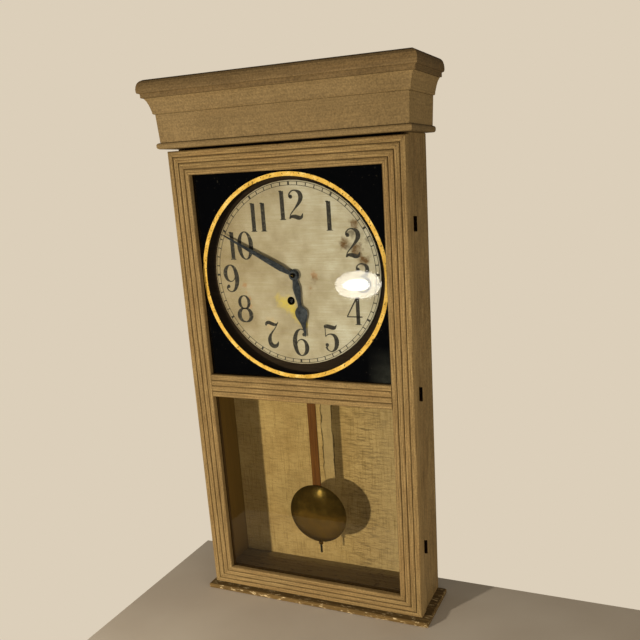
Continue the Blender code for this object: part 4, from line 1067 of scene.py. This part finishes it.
# %% Bob
BOB_AT, BOB_R, BOB_BACK, BOB_RIM, BOB_DOME = (0.0, -240.0), 54.0, -62.8, 1.4, 9.5
ROLL = 0.5  # how far the dome starts inside the rolled rim
DOME_STEPS, BOB_STEPS = 26, 96
STRAP_Z = (-294.2, -281.0)  # the strap across the back of the bob's foot
STRAP_HALF, STRAP_T = 8.0, 2.0
STRAP_IN, STRAP_OUT = -58.0, -56.6


def spun_brass():
    """Spun brass under brown tarnish, with the circles that the spinning tool leaves."""
    made, tree, out, place = started("spun_tarnished_brass")
    centre = (BOB_AT[0] * MM, BOB_BACK * MM, BOB_AT[1] * MM)
    far = add(tree, "VectorMath", {0: place, 1: centre}, operation="DISTANCE")
    rings = add(tree, "Math", {0: far.outputs["Value"], 1: 900.0}, operation="MULTIPLY")
    wave = add(tree, "TexNoise", {"W": rings, "Scale": 1.0, "Detail": 3.0}, noise_dimensions="1D")
    cloud = add(tree, "TexNoise", {"Vector": place, "Scale": 60.0, "Detail": 6.0, "Roughness": 0.65})
    tone = add(tree, "ValToRGB", {0: cloud}, stops=[(0.3, "#6E511E"), (0.55, "#86652A"), (0.75, "#A37E38")])
    edge = add(tree, "MapRange", {
        "Value": far.outputs["Value"], "From Min": 0.035, "From Max": 0.054, "To Max": 0.55})
    colour = blended(tree, edge, tone, "#4C3915")
    gloss = add(tree, "MapRange", {"Value": cloud, "To Min": 0.15, "To Max": 0.21})
    return coated(made, tree, out, {
        "Base Color": colour, "Metallic": 0.85, "Roughness": gloss}, (wave, 0.15, 0.0002))


front = BOB_BACK - BOB_RIM
section = [
    (0.0, BOB_BACK), (BOB_R - 0.3, BOB_BACK), (BOB_R, BOB_BACK - 0.4), (BOB_R, front + 0.3),
    (BOB_R - ROLL, front)]
BOW_R = (BOB_R ** 2 + BOB_DOME ** 2) / (2 * BOB_DOME)  # radius of the sphere that the face is part of
for k in range(1, DOME_STEPS + 1):
    share = k / DOME_STEPS
    radius = (BOB_R - ROLL) * (1 - share)
    section.append((radius, front - BOB_DOME + BOW_R - math.sqrt(BOW_R ** 2 - radius ** 2)))
points, faces = turned(section, BOB_AT, BOB_STEPS)
wall, foot = STRAP_HALF + STRAP_T, BOB_BACK - 0.4
strap = [(-wall, foot), (-wall, STRAP_OUT), (wall, STRAP_OUT), (wall, foot), (STRAP_HALF, foot),
         (STRAP_HALF, STRAP_IN), (-STRAP_HALF, STRAP_IN), (-STRAP_HALF, foot)]
base, n = len(points), len(strap)
points += [(x, y, z) for z in STRAP_Z for x, y in strap]
faces += [(base + i, base + (i + 1) % n, base + n + (i + 1) % n, base + n + i) for i in range(n)]
faces += [tuple(base + i for i in range(n)), tuple(base + n + i for i in range(n))]
piece("pendulum_bob_spun", points, faces, spun_brass(), "bob", ("pendulum_bob",), 40.0)
print("bob", 2 * BOB_R, "mm across")
